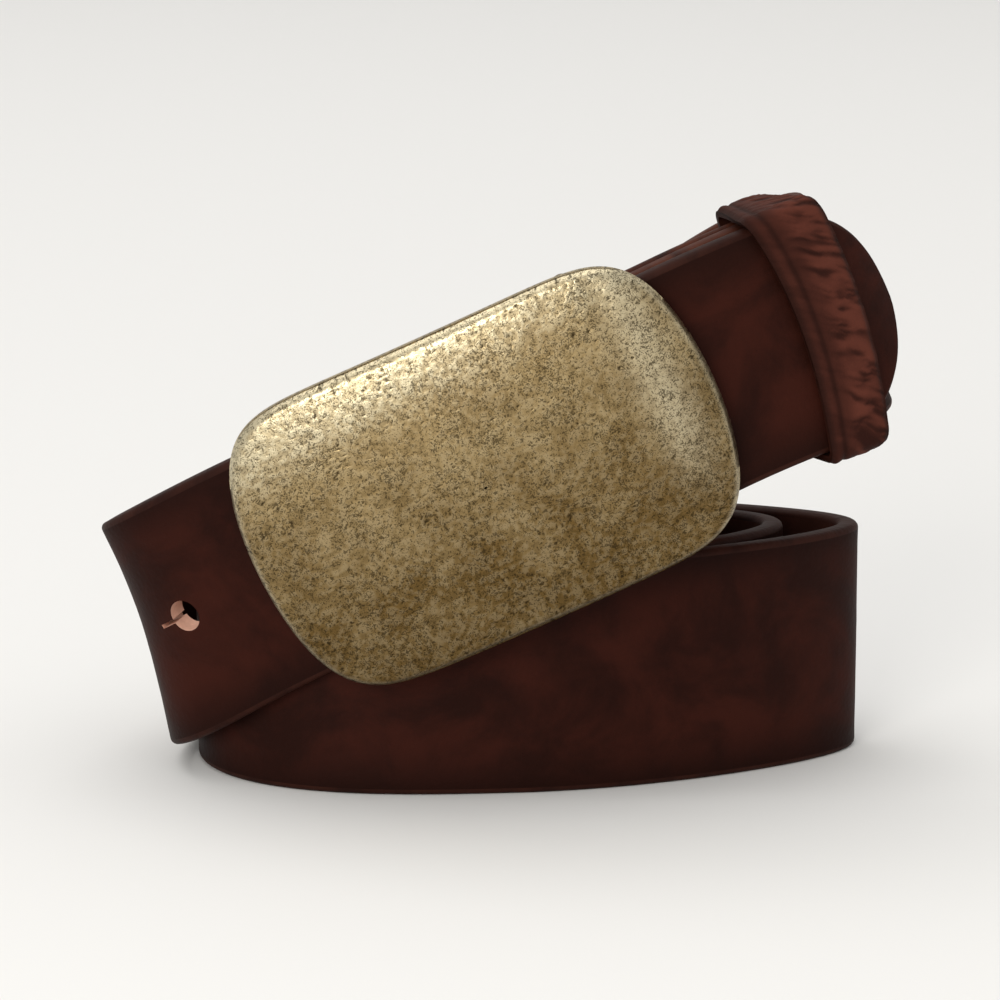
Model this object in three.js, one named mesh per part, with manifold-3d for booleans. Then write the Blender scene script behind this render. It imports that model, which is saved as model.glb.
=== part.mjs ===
// A fastened leather belt with a plate buckle, wound into a coil that stands on its lower edge.
// Millimetres, +Z up, origin on the ground under the middle of the coil.
//
// The strap is one ribbon. It starts as a flap behind the wire bale, folds round the bale's bar,
// runs down inside the coil, makes three level turns, and comes up at the left to pass behind the
// plate, through the bale and under the keeper, where it ends in a rounded tip.
import * as THREE from 'three';
import { mergeVertices } from 'three/addons/utils/BufferGeometryUtils.js';
import Module from 'manifold-3d';

const wasm = await Module();
wasm.setup();

// ---- driving dimensions --------------------------------------------------------------------
const GAP = 0.35;                 // air between pieces that touch on the real belt
const strap = { width: 38, thick: 3.5, edge: 0.5, tipRound: 19 };

// Level turns: a teardrop spiral, `turn` counts inwards from the outermost one.
const coil = {
  turns: 3,
  halfRight: 54.2, halfLeft: 54.0,   // reach of the outermost turn from the middle
  stepRight: 12.5,                   // how far each turn inwards is shorter at the right,
  pitch: strap.thick + 1.4,          // and everywhere else
  halfDepth: 25.8, middleY: -9.5,
  egg: 0.35, eggStep: 0.06,          // taper of the teardrop towards the right
  rise: 4.0,                         // the right end lies this much further back
  powRight: 0.97, powRightStep: 0.12, powLeft: 0.86, powLeftStep: 0.05,
};

// Raised loop: the first and the last stretch of the strap, on a slope that climbs to the right.
const loop = {
  halfRight: 60, halfLeft: 62.5, powRight: 0.62, powLeft: 0.80,
  depth: 23.7, middleY: -18.5,
  slope: 24.6, lean: 24.0, nod: 5.0, // degrees: climb of the strap, tilt of its width, nod forward
  height: strap.width + 16, heightX: -4, droop: 0.0045, droopX: 28,
};
const layerStep = strap.thick + 1.1;   // tip stretch to bale stretch, middle to middle
const innerRight = layerStep + 4.5;    // the bale stretch turns back this much before the tip stretch
const innerBack = 14;                  // depth of the bale stretch's loop behind its right end
const tipAngle = 158;                  // where the tip ends, degrees past the left end of the last turn

const plate = {
  halfLong: 38.6, halfHigh: strap.width / 2 + 6, powLong: 2 / 7.8, thick: 2.6, edge: 1.1,
  bowLong: 2.0, bowEnds: 1.8, bowHigh: 1.2,
  air: 4.85, up: 0.7, x: -5.2,       // air between the plate's middle and the strap behind it
};
const plateStand = strap.thick / 2 + plate.thick + plate.air;
const hinge = { x: 17.5, inside: strap.width / 2 + 0.5, lugThick: 1.2, eye: 3.1, reach: 3.4, foot: 4.6 };
const bale = { wire: 2.2, reach: 6.0, corner: 1.7 };
const hook = {
  x: -27, peg: 1.45, head: 1.85, headLong: 1.6, lean: 4, past: 0.9, base: 4.2, baseThick: 1.0,
};
const hole = { radius: 2.65, slit: 0.7, slitLong: 5.8, pitch: 27.5, count: 5 };
const screw = {
  head: 3.8, headThick: 1.0, seat: -1.0, overSlope: 0.375,
  barrel: 2.3, bore: 1.6, shank: 1.25, slot: 0.9, slotDeep: 0.6,
};
const keeper = { at: 31.8, long: 10.5, thick: 1.5, room: 0.85, roomUp: 0.5, corner: 2.6 };
const fold = { flap: 39, thick: 2.2, join: 8, screwAt: [keeper.at - 21.6, keeper.at - 12.2] };
const staple = { wire: 0.9, span: 6.4, offset: 7.5 };

const stepFine = 0.5;                  // degrees between samples of the ribbon's course
const stationLong = 5.0;               // longest step between cross sections
const stationTurn = 11;                // largest turn between cross sections, degrees
const stationFine = 0.25;              // step of the search for the next cross section

// ---- the strap's course --------------------------------------------------------------------
const rad = (degrees) => degrees * Math.PI / 180;
const smooth = (from, to, value) => {
  const t = Math.min(Math.max((value - from) / (to - from), 0), 1);
  return t * t * t * (t * (6 * t - 15) + 10);
};
const signedPow = (value, power) => Math.sign(value) * Math.abs(value) ** power;
const mix = (a, b, t) => a + (b - a) * t;

const leftEnd = 180 + 360 * coil.turns;       // the angle of the last left turn
const slopeUp = new THREE.Vector3(-Math.sin(rad(loop.lean)), -Math.sin(rad(loop.nod)), 0);
slopeUp.z = Math.sqrt(1 - slopeUp.x ** 2 - slopeUp.y ** 2);

function courseAt(angle) {
  const c = Math.cos(rad(angle));
  const s = Math.sin(rad(angle));
  const turn = (leftEnd - 180 - angle) / 360;
  const right = c > 0;
  const half = right ? coil.halfRight - coil.stepRight * turn : coil.halfLeft - coil.pitch * turn;
  const power = right ? coil.powRight - coil.powRightStep * turn : coil.powLeft - coil.powLeftStep * turn;
  const depth = coil.halfDepth - coil.pitch * turn;
  const levelX = half * signedPow(c, power);
  const levelY = coil.middleY + depth * s * (1 - (coil.egg - coil.eggStep * turn) * c)
    + coil.rise * Math.max(c, 0) ** 2;

  const first = angle < 360;
  const inset = !first ? 0 : right ? innerRight : layerStep;
  const loopHalf = (right ? loop.halfRight : loop.halfLeft) - inset;
  const loopX = loopHalf * signedPow(c, right ? loop.powRight : loop.powLeft);
  const loopDepth = !first ? loop.depth : s > 0 ? innerBack : loop.depth - layerStep;
  const loopY = loop.middleY + loopDepth * s;

  const plan = Math.max(smooth(leftEnd - 45, leftEnd + 55, angle), 1 - smooth(0, 165, angle));
  const climb = Math.max(smooth(leftEnd - 45, leftEnd + 75, angle), 1 - smooth(0, 215, angle));
  const tilt = Math.max(smooth(leftEnd - 85, leftEnd + 85, angle), 1 - smooth(-10, 140, angle));
  const x = mix(levelX, loopX, plan);
  const y = mix(levelY, loopY, plan);
  const raised = loop.height + Math.tan(rad(loop.slope)) * (x - loop.heightX)
    - loop.droop * Math.max(x - loop.droopX, 0) ** 2;
  const point = new THREE.Vector3(x, y, mix(strap.width / 2, raised, climb));
  const up = new THREE.Vector3(0, 0, 1).lerp(slopeUp, tilt).normalize();
  return { point, up };
}

// A table of frames along the course: point, along, up (across the width), out (away from the coil).
function frameTable(fromAngle, toAngle) {
  const table = [];
  let length = 0;
  for (let angle = fromAngle; angle <= toAngle + 1e-9; angle += stepFine) {
    const here = courseAt(angle);
    const along = courseAt(angle + stepFine / 2).point.sub(courseAt(angle - stepFine / 2).point).normalize();
    const up = here.up.clone().addScaledVector(along, -here.up.dot(along)).normalize();
    const out = new THREE.Vector3().crossVectors(along, up);
    if (table.length) length += here.point.distanceTo(table[table.length - 1].point);
    table.push({ angle, s: length, point: here.point, along, up, out });
  }
  return table;
}

function frameAt(table, s) {
  let low = 0;
  let high = table.length - 1;
  while (high - low > 1) {
    const middle = (low + high) >> 1;
    if (table[middle].s <= s) low = middle;
    else high = middle;
  }
  const a = table[low];
  const b = table[high];
  const t = (s - a.s) / (b.s - a.s);
  const along = a.along.clone().lerp(b.along, t).normalize();
  const up = a.up.clone().lerp(b.up, t);
  up.addScaledVector(along, -up.dot(along)).normalize();
  const out = new THREE.Vector3().crossVectors(along, up);
  return { s, point: a.point.clone().lerp(b.point, t), along, up, out };
}

const shifted = (frame, out, up = 0) => ({
  ...frame, point: frame.point.clone().addScaledVector(frame.out, out).addScaledVector(frame.up, up) });

// ---- solids --------------------------------------------------------------------------------
function geometryOf(positions, triangles) {
  const geometry = new THREE.BufferGeometry();
  geometry.setAttribute('position', new THREE.Float32BufferAttribute(positions, 3));
  geometry.setIndex(triangles);
  return geometry;
}

// Skin over a row of closed sections with the same number of points, closed by a fan at each end.
function loft(sections) {
  const count = sections[0].length;
  const positions = sections.flat().flatMap((p) => [p.x, p.y, p.z]);
  const triangles = [];
  for (let i = 0; i + 1 < sections.length; i += 1) {
    for (let j = 0; j < count; j += 1) {
      const a = i * count + j;
      const b = i * count + (j + 1) % count;
      triangles.push(a, b, a + count, b, b + count, a + count);
    }
  }
  const last = (sections.length - 1) * count;
  for (let j = 1; j + 1 < count; j += 1) {
    triangles.push(0, j + 1, j);
    triangles.push(last, last + j, last + j + 1);
  }
  return geometryOf(positions, triangles);
}

// The strap's section in its frame: a flat bar with chamfered edges and one point midway on each face.
function barSection(frame, halfWidth, halfThick, edge) {
  const e = Math.min(edge, halfWidth * 0.45, halfThick * 0.6);
  const outline = [
    [halfWidth - e, halfThick], [0, halfThick], [-halfWidth + e, halfThick], [-halfWidth, halfThick - e],
    [-halfWidth, -halfThick + e], [-halfWidth + e, -halfThick], [0, -halfThick], [halfWidth - e, -halfThick],
    [halfWidth, -halfThick + e], [halfWidth, halfThick - e],
  ];
  return outline.map(([up, out]) => frame.point.clone()
    .addScaledVector(frame.up, up).addScaledVector(frame.out, out));
}

function signedVolume(geometry) {
  const p = geometry.attributes.position;
  const index = geometry.index.array;
  let volume = 0;
  const a = new THREE.Vector3();
  const b = new THREE.Vector3();
  const c = new THREE.Vector3();
  for (let i = 0; i < index.length; i += 3) {
    a.fromBufferAttribute(p, index[i]);
    b.fromBufferAttribute(p, index[i + 1]);
    c.fromBufferAttribute(p, index[i + 2]);
    volume += a.dot(b.cross(c)) / 6;
  }
  return volume;
}

// The bare closed mesh, shared corners merged and faces pointing out.
function closed(geometry) {
  const bare = geometry.clone();
  bare.deleteAttribute('normal');
  bare.deleteAttribute('uv');
  const merged = mergeVertices(bare, 1e-4);
  const corners = Array.from(merged.index.array);
  const kept = [];
  for (let i = 0; i < corners.length; i += 3) {
    const [a, b, c] = corners.slice(i, i + 3);
    if (a !== b && b !== c && c !== a) kept.push(a, b, c);
  }
  merged.setIndex(kept);
  if (signedVolume(merged) < 0) merged.setIndex(kept.reverse());
  return merged;
}

function solidOf(geometry) {
  const mesh = closed(geometry);
  return new wasm.Manifold(new wasm.Mesh({
    numProp: 3,
    vertProperties: Float32Array.from(mesh.attributes.position.array),
    triVerts: Uint32Array.from(mesh.index.array),
  }));
}

function cut(geometry, cutters) {
  let body = solidOf(geometry);
  for (const cutter of cutters) body = body.subtract(solidOf(cutter));
  const mesh = body.getMesh();
  return geometryOf(Array.from(mesh.vertProperties), Array.from(mesh.triVerts));
}

const matrixOf = (frame) => new THREE.Matrix4()
  .makeBasis(frame.along, frame.up, frame.out).setPosition(frame.point);

// A round pin along its frame's out direction, from `low` to `high`.
function pin(radius, low, high, sides) {
  return new THREE.CylinderGeometry(radius, radius, high - low, sides)
    .rotateX(Math.PI / 2).translate(0, 0, (low + high) / 2);
}

// A turned piece about the frame's out direction, from a profile of [radius, height].
function turned(profile, sides) {
  return new THREE.LatheGeometry(profile.map(([r, z]) => new THREE.Vector2(r, z)), sides)
    .rotateX(Math.PI / 2);
}

// A round wire along a polyline whose corners are rounded off.
function wireAlong(points, radius, corner, sides, steps) {
  const path = new THREE.CurvePath();
  let from = points[0];
  for (let i = 1; i + 1 < points.length; i += 1) {
    const [before, at, after] = [points[i - 1], points[i], points[i + 1]];
    const enter = at.clone().addScaledVector(before.clone().sub(at).normalize(), corner);
    const leave = at.clone().addScaledVector(after.clone().sub(at).normalize(), corner);
    path.add(new THREE.LineCurve3(from, enter));
    path.add(new THREE.QuadraticBezierCurve3(enter, at, leave));
    from = leave;
  }
  path.add(new THREE.LineCurve3(from, points[points.length - 1]));
  const section = new THREE.Shape();
  for (let i = 0; i < sides; i += 1) {
    const angle = 2 * Math.PI * i / sides;
    const [x, y] = [radius * Math.cos(angle), radius * Math.sin(angle)];
    if (i) section.lineTo(x, y);
    else section.moveTo(x, y);
  }
  section.closePath();
  return new THREE.ExtrudeGeometry(section, { steps, extrudePath: path });
}

// ---- where the pieces sit on the strap -------------------------------------------------------
const wholeTable = frameTable(-96, leftEnd + tipAngle);
const strapEnd = wholeTable[wholeTable.length - 1].s;
const lastFrom = wholeTable.find((frame) => frame.angle >= leftEnd).s;

// The last stretch's frame where it crosses the plane x = `reach` of another frame.
function crossing(table, frame, reach, fromS, toS) {
  const gapAt = (s) => frameAt(table, s).point.sub(frame.point).dot(frame.along) - reach;
  let low = fromS;
  let high = toS;
  for (let i = 0; i < 50; i += 1) {
    const middle = (low + high) / 2;
    if (gapAt(low) * gapAt(middle) <= 0) high = middle;
    else low = middle;
  }
  return frameAt(table, (low + high) / 2);
}

const worldX = { point: new THREE.Vector3(), along: new THREE.Vector3(1, 0, 0) };
const plateSeat = crossing(wholeTable, worldX, plate.x, lastFrom, strapEnd);
const plateFrame = shifted(plateSeat, plateStand, plate.up);
const bow = (x, y) => plate.bowLong * (x / plate.halfLong) ** 2 + plate.bowEnds * (x / plate.halfLong) ** 6
  + plate.bowHigh * (y / plate.halfHigh) ** 2;
const plateBack = (x, y) => -bow(x, y) - plate.thick;

const lugTop = hinge.inside + hinge.lugThick;
const strapMiddle = -plate.up;                  // the lugs and the hook sit on the middle of the strap
const hingeZ = plateBack(hinge.x, lugTop - strapMiddle) - GAP - hinge.reach;
const barSeat = crossing(wholeTable, plateFrame, hinge.x + bale.reach, 0, 60);
const foldRadius = bale.wire / 2 + GAP + strap.thick / 2;
const barFrame = shifted(barSeat, -foldRadius);
const hookSeat = crossing(wholeTable, plateFrame, hook.x, lastFrom, strapEnd);
const keeperSeat = crossing(wholeTable, barSeat, keeper.at, lastFrom, strapEnd);

// ---- the strap -------------------------------------------------------------------------------
const flapThick = (s) => mix(strap.thick, fold.thick, smooth(1, fold.join, s));   // the flap is skived
const flapDepth = (s) => mix(2 * foldRadius, (strap.thick + fold.thick) / 2 + GAP, smooth(1, fold.join, s));
const flapBack = -strap.thick / 2 - GAP - fold.thick;
// The screws' heads stand off the flap by a share of how far it comes in from the bar to lie flat.
const backSeat = screw.overSlope * (flapDepth(0) - flapDepth(fold.join));
const halfWidthAt = (s) => {
  const past = s - (strapEnd - strap.tipRound);
  return past <= 0 ? strap.width / 2
    : strap.width / 2 * Math.sqrt(Math.max(1 - (past / strap.tipRound) ** 2, 0.004));
};

// Stations along the strap, closer together where it bends.
function stationsBetween(fromS, toS) {
  const list = [fromS];
  let last = frameAt(wholeTable, fromS);
  for (let s = fromS + stationFine; s < toS - stationFine; s += stationFine) {
    const here = frameAt(wholeTable, s);
    const bend = THREE.MathUtils.radToDeg(Math.max(here.along.angleTo(last.along), here.up.angleTo(last.up)));
    if (s - last.s >= stationLong || bend >= stationTurn) {
      list.push(s);
      last = here;
    }
  }
  list.push(toS);
  return list;
}

function strapSections() {
  const halfThick = strap.thick / 2;
  const sections = [];
  for (const s of stationsBetween(barSeat.s, barSeat.s + fold.flap).reverse()) {
    const frame = frameAt(wholeTable, s);
    const seat = shifted(frame, -flapDepth(s - barSeat.s));
    seat.out = frame.out.clone().negate();
    sections.push(barSection(seat, strap.width / 2, flapThick(s - barSeat.s) / 2, strap.edge));
  }
  for (let turn = 150; turn >= 30; turn -= 24) {
    const out = barSeat.out.clone().multiplyScalar(Math.cos(rad(turn)))
      .addScaledVector(barSeat.along, -Math.sin(rad(turn)));
    const point = barFrame.point.clone().addScaledVector(out, foldRadius);
    sections.push(barSection({ point, up: barSeat.up, out }, strap.width / 2, halfThick, strap.edge));
  }
  const roundFrom = strapEnd - strap.tipRound;
  const tip = [18, 36, 52, 66, 78, 86].map((angle) => roundFrom + strap.tipRound * Math.sin(rad(angle)));
  for (const s of [...stationsBetween(barSeat.s, roundFrom), ...tip]) {
    sections.push(barSection(frameAt(wholeTable, s), halfWidthAt(s), halfThick, strap.edge));
  }
  return sections;
}

// A keyhole: a round punch with a slit that runs away from the tip.
function keyholeCutters(frame) {
  const deep = strap.thick;
  const slit = new THREE.BoxGeometry(hole.slitLong, hole.slit, 2 * deep).translate(-hole.slitLong / 2, 0, 0);
  return [pin(hole.radius, -deep, deep, 16), slit].map((g) => g.applyMatrix4(matrixOf(frame)));
}

const screwSeats = fold.screwAt.map((s) => frameAt(wholeTable, barSeat.s + s));
const holeSeats = Array.from({ length: hole.count },
  (_, i) => frameAt(wholeTable, hookSeat.s - i * hole.pitch));

function strapGeometry() {
  const screwHoles = screwSeats.flatMap((frame) => [
    pin(screw.barrel + GAP, -2.2 * strap.thick, strap.thick, 14),
    pin(screw.head + GAP, strap.thick / 2 + screw.seat - GAP, strap.thick, 20),    // pocket for the head
  ].map((cutter) => cutter.applyMatrix4(matrixOf(frame))));
  return cut(loft(strapSections()), [...holeSeats.flatMap(keyholeCutters), ...screwHoles]);
}

// ---- the buckle ------------------------------------------------------------------------------
function plateGeometry() {
  const [front, rim, back] = [0, -plate.edge, -plate.thick];
  const profile = [[0, front], [0.3, front], [0.6, front], [0.82, front], [0.95, front - 0.15],
    [0.99, rim * 0.55], [1, rim], [0.975, back], [0.82, back], [0.6, back], [0.3, back], [0, back]];
  const geometry = closed(turned(profile, 56));
  const p = geometry.attributes.position;
  for (let i = 0; i < p.count; i += 1) {
    const reach = Math.hypot(p.getX(i), p.getY(i));
    const angle = Math.atan2(p.getY(i), p.getX(i));
    const x = reach < 1e-6 ? 0 : reach * plate.halfLong * signedPow(Math.cos(angle), plate.powLong);
    const y = reach < 1e-6 ? 0 : reach * plate.halfHigh * Math.sin(angle);
    p.setXYZ(i, x, y, p.getZ(i) - bow(x, y));
  }
  return geometry;
}

function lugGeometry(side) {
  const footAt = (x) => plateBack(x, lugTop - strapMiddle) - GAP;
  const outline = new THREE.Shape();
  outline.moveTo(hinge.x - hinge.foot, footAt(hinge.x - hinge.foot));
  outline.lineTo(hinge.x, footAt(hinge.x));
  outline.lineTo(hinge.x + hinge.foot, footAt(hinge.x + hinge.foot));
  outline.absarc(hinge.x, hingeZ, hinge.eye, rad(15), rad(-195), true);
  outline.closePath();
  const eye = new THREE.Path();
  eye.absarc(hinge.x, hingeZ, bale.wire / 2 + GAP + 0.1, 0, 2 * Math.PI);
  outline.holes.push(eye);
  const geometry = new THREE.ExtrudeGeometry(outline,
    { depth: hinge.lugThick, bevelEnabled: false, curveSegments: 10 });
  geometry.rotateX(Math.PI / 2);
  return geometry.translate(0, strapMiddle + (side > 0 ? lugTop : -hinge.inside), 0);
}

function baleGeometry() {
  const arm = lugTop + GAP + bale.wire / 2;
  const hingePoint = (y) => new THREE.Vector3(hinge.x, y + strapMiddle, hingeZ)
    .applyMatrix4(matrixOf(plateFrame));
  const barPoint = (y) => barFrame.point.clone().addScaledVector(barFrame.up, y);
  const points = [hingePoint(hinge.inside + 0.2), hingePoint(arm), barPoint(arm),
    barPoint(-arm), hingePoint(-arm), hingePoint(-hinge.inside - 0.2)];
  return wireAlong(points, bale.wire / 2, bale.corner, 10, 64);
}

const hookFrame = (() => {
  const out = plateFrame.out.clone().applyAxisAngle(plateFrame.up, rad(hook.lean));
  const along = plateFrame.along.clone().applyAxisAngle(plateFrame.up, rad(hook.lean));
  return { point: hookSeat.point.clone(), along, up: plateFrame.up, out };
})();

const hookRise = plateBack(hook.x, 0) - hookSeat.point.clone().sub(plateFrame.point).dot(plateFrame.out);
const hookRootX = hook.x + Math.tan(rad(hook.lean)) * hookRise;

function hookGeometry() {
  const below = -strap.thick / 2 - GAP - hook.past - hook.headLong;
  const root = hookRise - GAP;
  return turned([[0, below], [hook.head * 0.7, below], [hook.head, below + 0.6],
    [hook.head, below + hook.headLong - 0.5], [hook.peg, below + hook.headLong],
    [hook.peg, root - 0.3], [0, root - 0.3]], 16);
}

function hookBaseGeometry() {
  const backAt = (x) => plateBack(x, 0);
  const slope = (backAt(hookRootX + hook.base) - backAt(hookRootX - hook.base)) / (2 * hook.base);
  const bore = hook.peg + GAP + 0.5;
  const ring = turned([[bore, -hook.baseThick], [hook.base, -hook.baseThick], [hook.base, 0], [bore, 0],
    [bore, -hook.baseThick]], 20);
  ring.rotateY(-Math.atan(slope));
  return ring.translate(hookRootX, strapMiddle, backAt(hookRootX) - GAP - 0.15);
}

// ---- screws, keeper --------------------------------------------------------------------------
function screwPostGeometry() {
  const front = strap.thick / 2 + screw.seat;
  const end = flapBack;
  return turned([[screw.bore, end], [screw.barrel, end], [screw.barrel, front], [screw.head, front],
    [screw.head, front + screw.headThick - 0.3], [screw.head - 0.4, front + screw.headThick],
    [0, front + screw.headThick], [0, front], [screw.bore, front], [screw.bore, end]], 16);
}

function screwGeometry() {
  const seat = flapBack - backSeat;
  const head = turned([[0, seat - screw.headThick], [screw.head - 0.4, seat - screw.headThick],
    [screw.head, seat - screw.headThick + 0.3], [screw.head, seat], [screw.shank, seat],
    [screw.shank, strap.thick / 2 + screw.seat - GAP], [0, strap.thick / 2 + screw.seat - GAP]], 16);
  const slot = new THREE.BoxGeometry(3 * screw.head, screw.slot, 2 * screw.slotDeep)
    .translate(0, 0, seat - screw.headThick);
  return cut(head, [slot]);
}

// The keeper's opening, from the flap's back to the tip stretch's front, along the keeper's length.
const keeperLow = (() => {
  let low = 0;
  for (let s = barSeat.s + 20; s < barSeat.s + fold.flap; s += 0.5) {
    const back = shifted(frameAt(wholeTable, s), flapBack);
    const offset = back.point.sub(keeperSeat.point);
    const beside = Math.abs(offset.dot(keeperSeat.along)) < keeper.long / 2;
    if (beside) low = Math.min(low, offset.dot(keeperSeat.out));
  }
  return low - keeper.room;
})();
const keeperHigh = strap.thick / 2 + keeper.room;

function roundedBox(frame, grow, corner) {
  const halfUp = strap.width / 2 + keeper.roomUp + grow;
  const low = keeperLow - grow;
  const high = keeperHigh + grow;
  const points = [];
  for (const [up, out, from] of [[1, 1, 0], [-1, 1, 90], [-1, -1, 180], [1, -1, 270]]) {
    for (const turn of [0, 30, 60, 90]) {
      const u = up * (halfUp - corner) + corner * Math.cos(rad(from + turn));
      const o = (out > 0 ? high - corner : low + corner) + corner * Math.sin(rad(from + turn));
      points.push(frame.point.clone().addScaledVector(frame.up, u).addScaledVector(frame.out, o));
    }
  }
  return points;
}

function keeperGeometry() {
  const run = (half, grow, corner) => [-1, -0.5, 0, 0.5, 1].map((t) => roundedBox(
    frameAt(wholeTable, keeperSeat.s + t * half), grow, corner));
  const outer = loft(run(keeper.long / 2, keeper.thick, keeper.corner));
  const opening = loft(run(keeper.long / 2 + 1, 0, keeper.corner - keeper.thick));
  const legs = [-1, 1].flatMap((side) => [-1, 1].map((end) => pin(staple.wire / 2 + 0.3,
    keeperLow - 2 * keeper.thick, keeperLow + 1, 10)
    .translate(end * staple.span / 2, side * staple.offset, 0).applyMatrix4(matrixOf(keeperSeat))));
  return cut(outer, [opening, ...legs]);
}

function stapleGeometry(side) {
  const y = side * staple.offset;
  const top = keeperLow - 0.2;
  const low = keeperLow - keeper.thick - GAP - staple.wire / 2;
  const points = [[-1, top], [-1, low], [1, low], [1, top]].map(([x, z]) => new THREE.Vector3(
    x * staple.span / 2, y, z).applyMatrix4(matrixOf(keeperSeat)));
  return wireAlong(points, staple.wire / 2, 0.8, 8, 16);
}

// ---- materials and the assembly ----------------------------------------------------------------
const leather = new THREE.MeshStandardMaterial({ color: 0x4a2016, roughness: 0.6, metalness: 0 });
const paleLeather = new THREE.MeshStandardMaterial({ color: 0x6e3423, roughness: 0.7, metalness: 0 });
const antiqueBrass = new THREE.MeshStandardMaterial({ color: 0x9c8858, roughness: 0.5, metalness: 0.9 });
const wireBrass = new THREE.MeshStandardMaterial({ color: 0xa88f52, roughness: 0.35, metalness: 0.95 });

const belt = new THREE.Group();
const buckle = new THREE.Group();
buckle.applyMatrix4(matrixOf(plateFrame));
belt.add(buckle);

function addMesh(parent, name, geometry, material) {
  const mesh = new THREE.Mesh(closed(geometry), material);
  mesh.name = name;
  parent.add(mesh);
  return mesh;
}

function addAt(frame, name, geometry, material) {
  addMesh(belt, name, geometry, material).applyMatrix4(matrixOf(frame));
}

addMesh(belt, 'belt_strap', strapGeometry(), leather);
addMesh(buckle, 'buckle_plate', plateGeometry(), antiqueBrass);
addMesh(buckle, 'hinge_lug_upper', lugGeometry(1), antiqueBrass);
addMesh(buckle, 'hinge_lug_lower', lugGeometry(-1), antiqueBrass);
addMesh(buckle, 'hook_base', hookBaseGeometry(), antiqueBrass);
addAt(hookFrame, 'hook_peg', hookGeometry(), wireBrass);
addMesh(belt, 'wire_bale', baleGeometry(), wireBrass);
screwSeats.forEach((frame, i) => {
  addAt(frame, `screw_post_${i + 1}`, screwPostGeometry(), wireBrass);
  addAt(frame, `strap_screw_${i + 1}`, screwGeometry(), wireBrass);
});
addMesh(belt, 'keeper_loop', keeperGeometry(), paleLeather);
addMesh(belt, 'keeper_staple_upper', stapleGeometry(1), wireBrass);
addMesh(belt, 'keeper_staple_lower', stapleGeometry(-1), wireBrass);

const box = new THREE.Box3().setFromObject(belt, true);
const middle = box.getCenter(new THREE.Vector3());
belt.position.set(-middle.x, -middle.y, -box.min.z);
belt.updateMatrixWorld(true);

// Named places on the belt, in its final frame, for whoever joins or measures its pieces.
const place = (point) => point.clone().add(belt.position).toArray().map((v) => Math.round(v * 1000) / 1000);
belt.userData = {
  shift: belt.position.toArray(),
  hinge: { point: place(new THREE.Vector3(hinge.x, strapMiddle, hingeZ).applyMatrix4(matrixOf(plateFrame))),
    axis: plateFrame.up.toArray() },
  bar: { point: place(barFrame.point), axis: barFrame.up.toArray() },
  keeper: { point: place(keeperSeat.point), axis: keeperSeat.along.toArray() },
  plate: { point: place(plateFrame.point), along: plateFrame.along.toArray(), up: plateFrame.up.toArray(),
    out: plateFrame.out.toArray() },
  strapLength: strapEnd - barSeat.s + fold.flap + Math.PI * foldRadius,
  keeperOnBale: crossing(wholeTable, keeperSeat, 0, barSeat.s, barSeat.s + 45).s - barSeat.s,
  size: box.getSize(new THREE.Vector3()).toArray(),
};

export default belt;
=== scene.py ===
"""A fastened leather belt with an antique brass plate buckle, coiled on a pale table.

The strap's course repeats the model's own formula, in millimetres, so every skin made here lies on
the piece it stands for. Lengths are in millimetres until a mesh is made.
"""

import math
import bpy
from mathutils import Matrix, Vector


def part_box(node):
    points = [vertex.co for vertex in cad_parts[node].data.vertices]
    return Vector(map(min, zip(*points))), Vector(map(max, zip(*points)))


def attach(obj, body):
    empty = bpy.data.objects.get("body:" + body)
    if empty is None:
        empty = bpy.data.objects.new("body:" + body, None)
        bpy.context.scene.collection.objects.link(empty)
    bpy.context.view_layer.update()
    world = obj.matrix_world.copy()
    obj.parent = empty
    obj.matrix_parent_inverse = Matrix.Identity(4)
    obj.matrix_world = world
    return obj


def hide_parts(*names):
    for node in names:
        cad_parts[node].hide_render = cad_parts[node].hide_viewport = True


bl_info = {
    "name": "Coiled belt with plate buckle",
    "version": (1, 0, 0),
    "blender": (4, 5, 0),
    "location": "View3D > Sidebar > Belt",
    "description": "Builds the leather, brass and studio light round a coiled belt",
    "category": "Object",
}

import bmesh
import bpy
import numpy as np
from bpy.props import FloatProperty, FloatVectorProperty, PointerProperty
from mathutils import Vector

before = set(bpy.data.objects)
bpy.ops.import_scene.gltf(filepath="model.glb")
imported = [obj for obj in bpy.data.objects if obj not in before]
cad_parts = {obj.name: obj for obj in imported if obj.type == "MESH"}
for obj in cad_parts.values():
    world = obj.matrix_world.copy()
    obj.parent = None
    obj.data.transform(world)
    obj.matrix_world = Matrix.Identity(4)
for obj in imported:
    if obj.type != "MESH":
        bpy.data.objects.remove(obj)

MM = 0.001

# ---- sizes shared with the model, in millimetres and degrees -------------------------------------
GAP = 0.35
STRAP_WIDTH, STRAP_THICK, TIP_ROUND = 38.0, 3.5, 19.0
TURNS = 3
HALF_RIGHT, HALF_LEFT, STEP_RIGHT, PITCH = 54.2, 54.0, 12.5, STRAP_THICK + 1.4
HALF_DEPTH, MIDDLE_Y, EGG, EGG_STEP, RISE = 25.8, -9.5, 0.35, 0.06, 4.0
POW_RIGHT, POW_RIGHT_STEP, POW_LEFT, POW_LEFT_STEP = 0.97, 0.12, 0.86, 0.05
LOOP_RIGHT, LOOP_LEFT, LOOP_POW_RIGHT, LOOP_POW_LEFT = 60.0, 62.5, 0.62, 0.80
LOOP_DEPTH, LOOP_MIDDLE_Y, SLOPE, LEAN, NOD = 23.7, -18.5, 24.6, 24.0, 5.0
HEIGHT, HEIGHT_X, DROOP, DROOP_X = STRAP_WIDTH + 16, -4.0, 0.0045, 28.0
LAYER_STEP, INNER_BACK = STRAP_THICK + 1.1, 14.0
INNER_RIGHT = LAYER_STEP + 4.5
COURSE_START, TIP_ANGLE, LEFT_END = -96.0, 158.0, 180.0 + 360.0 * TURNS
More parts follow.
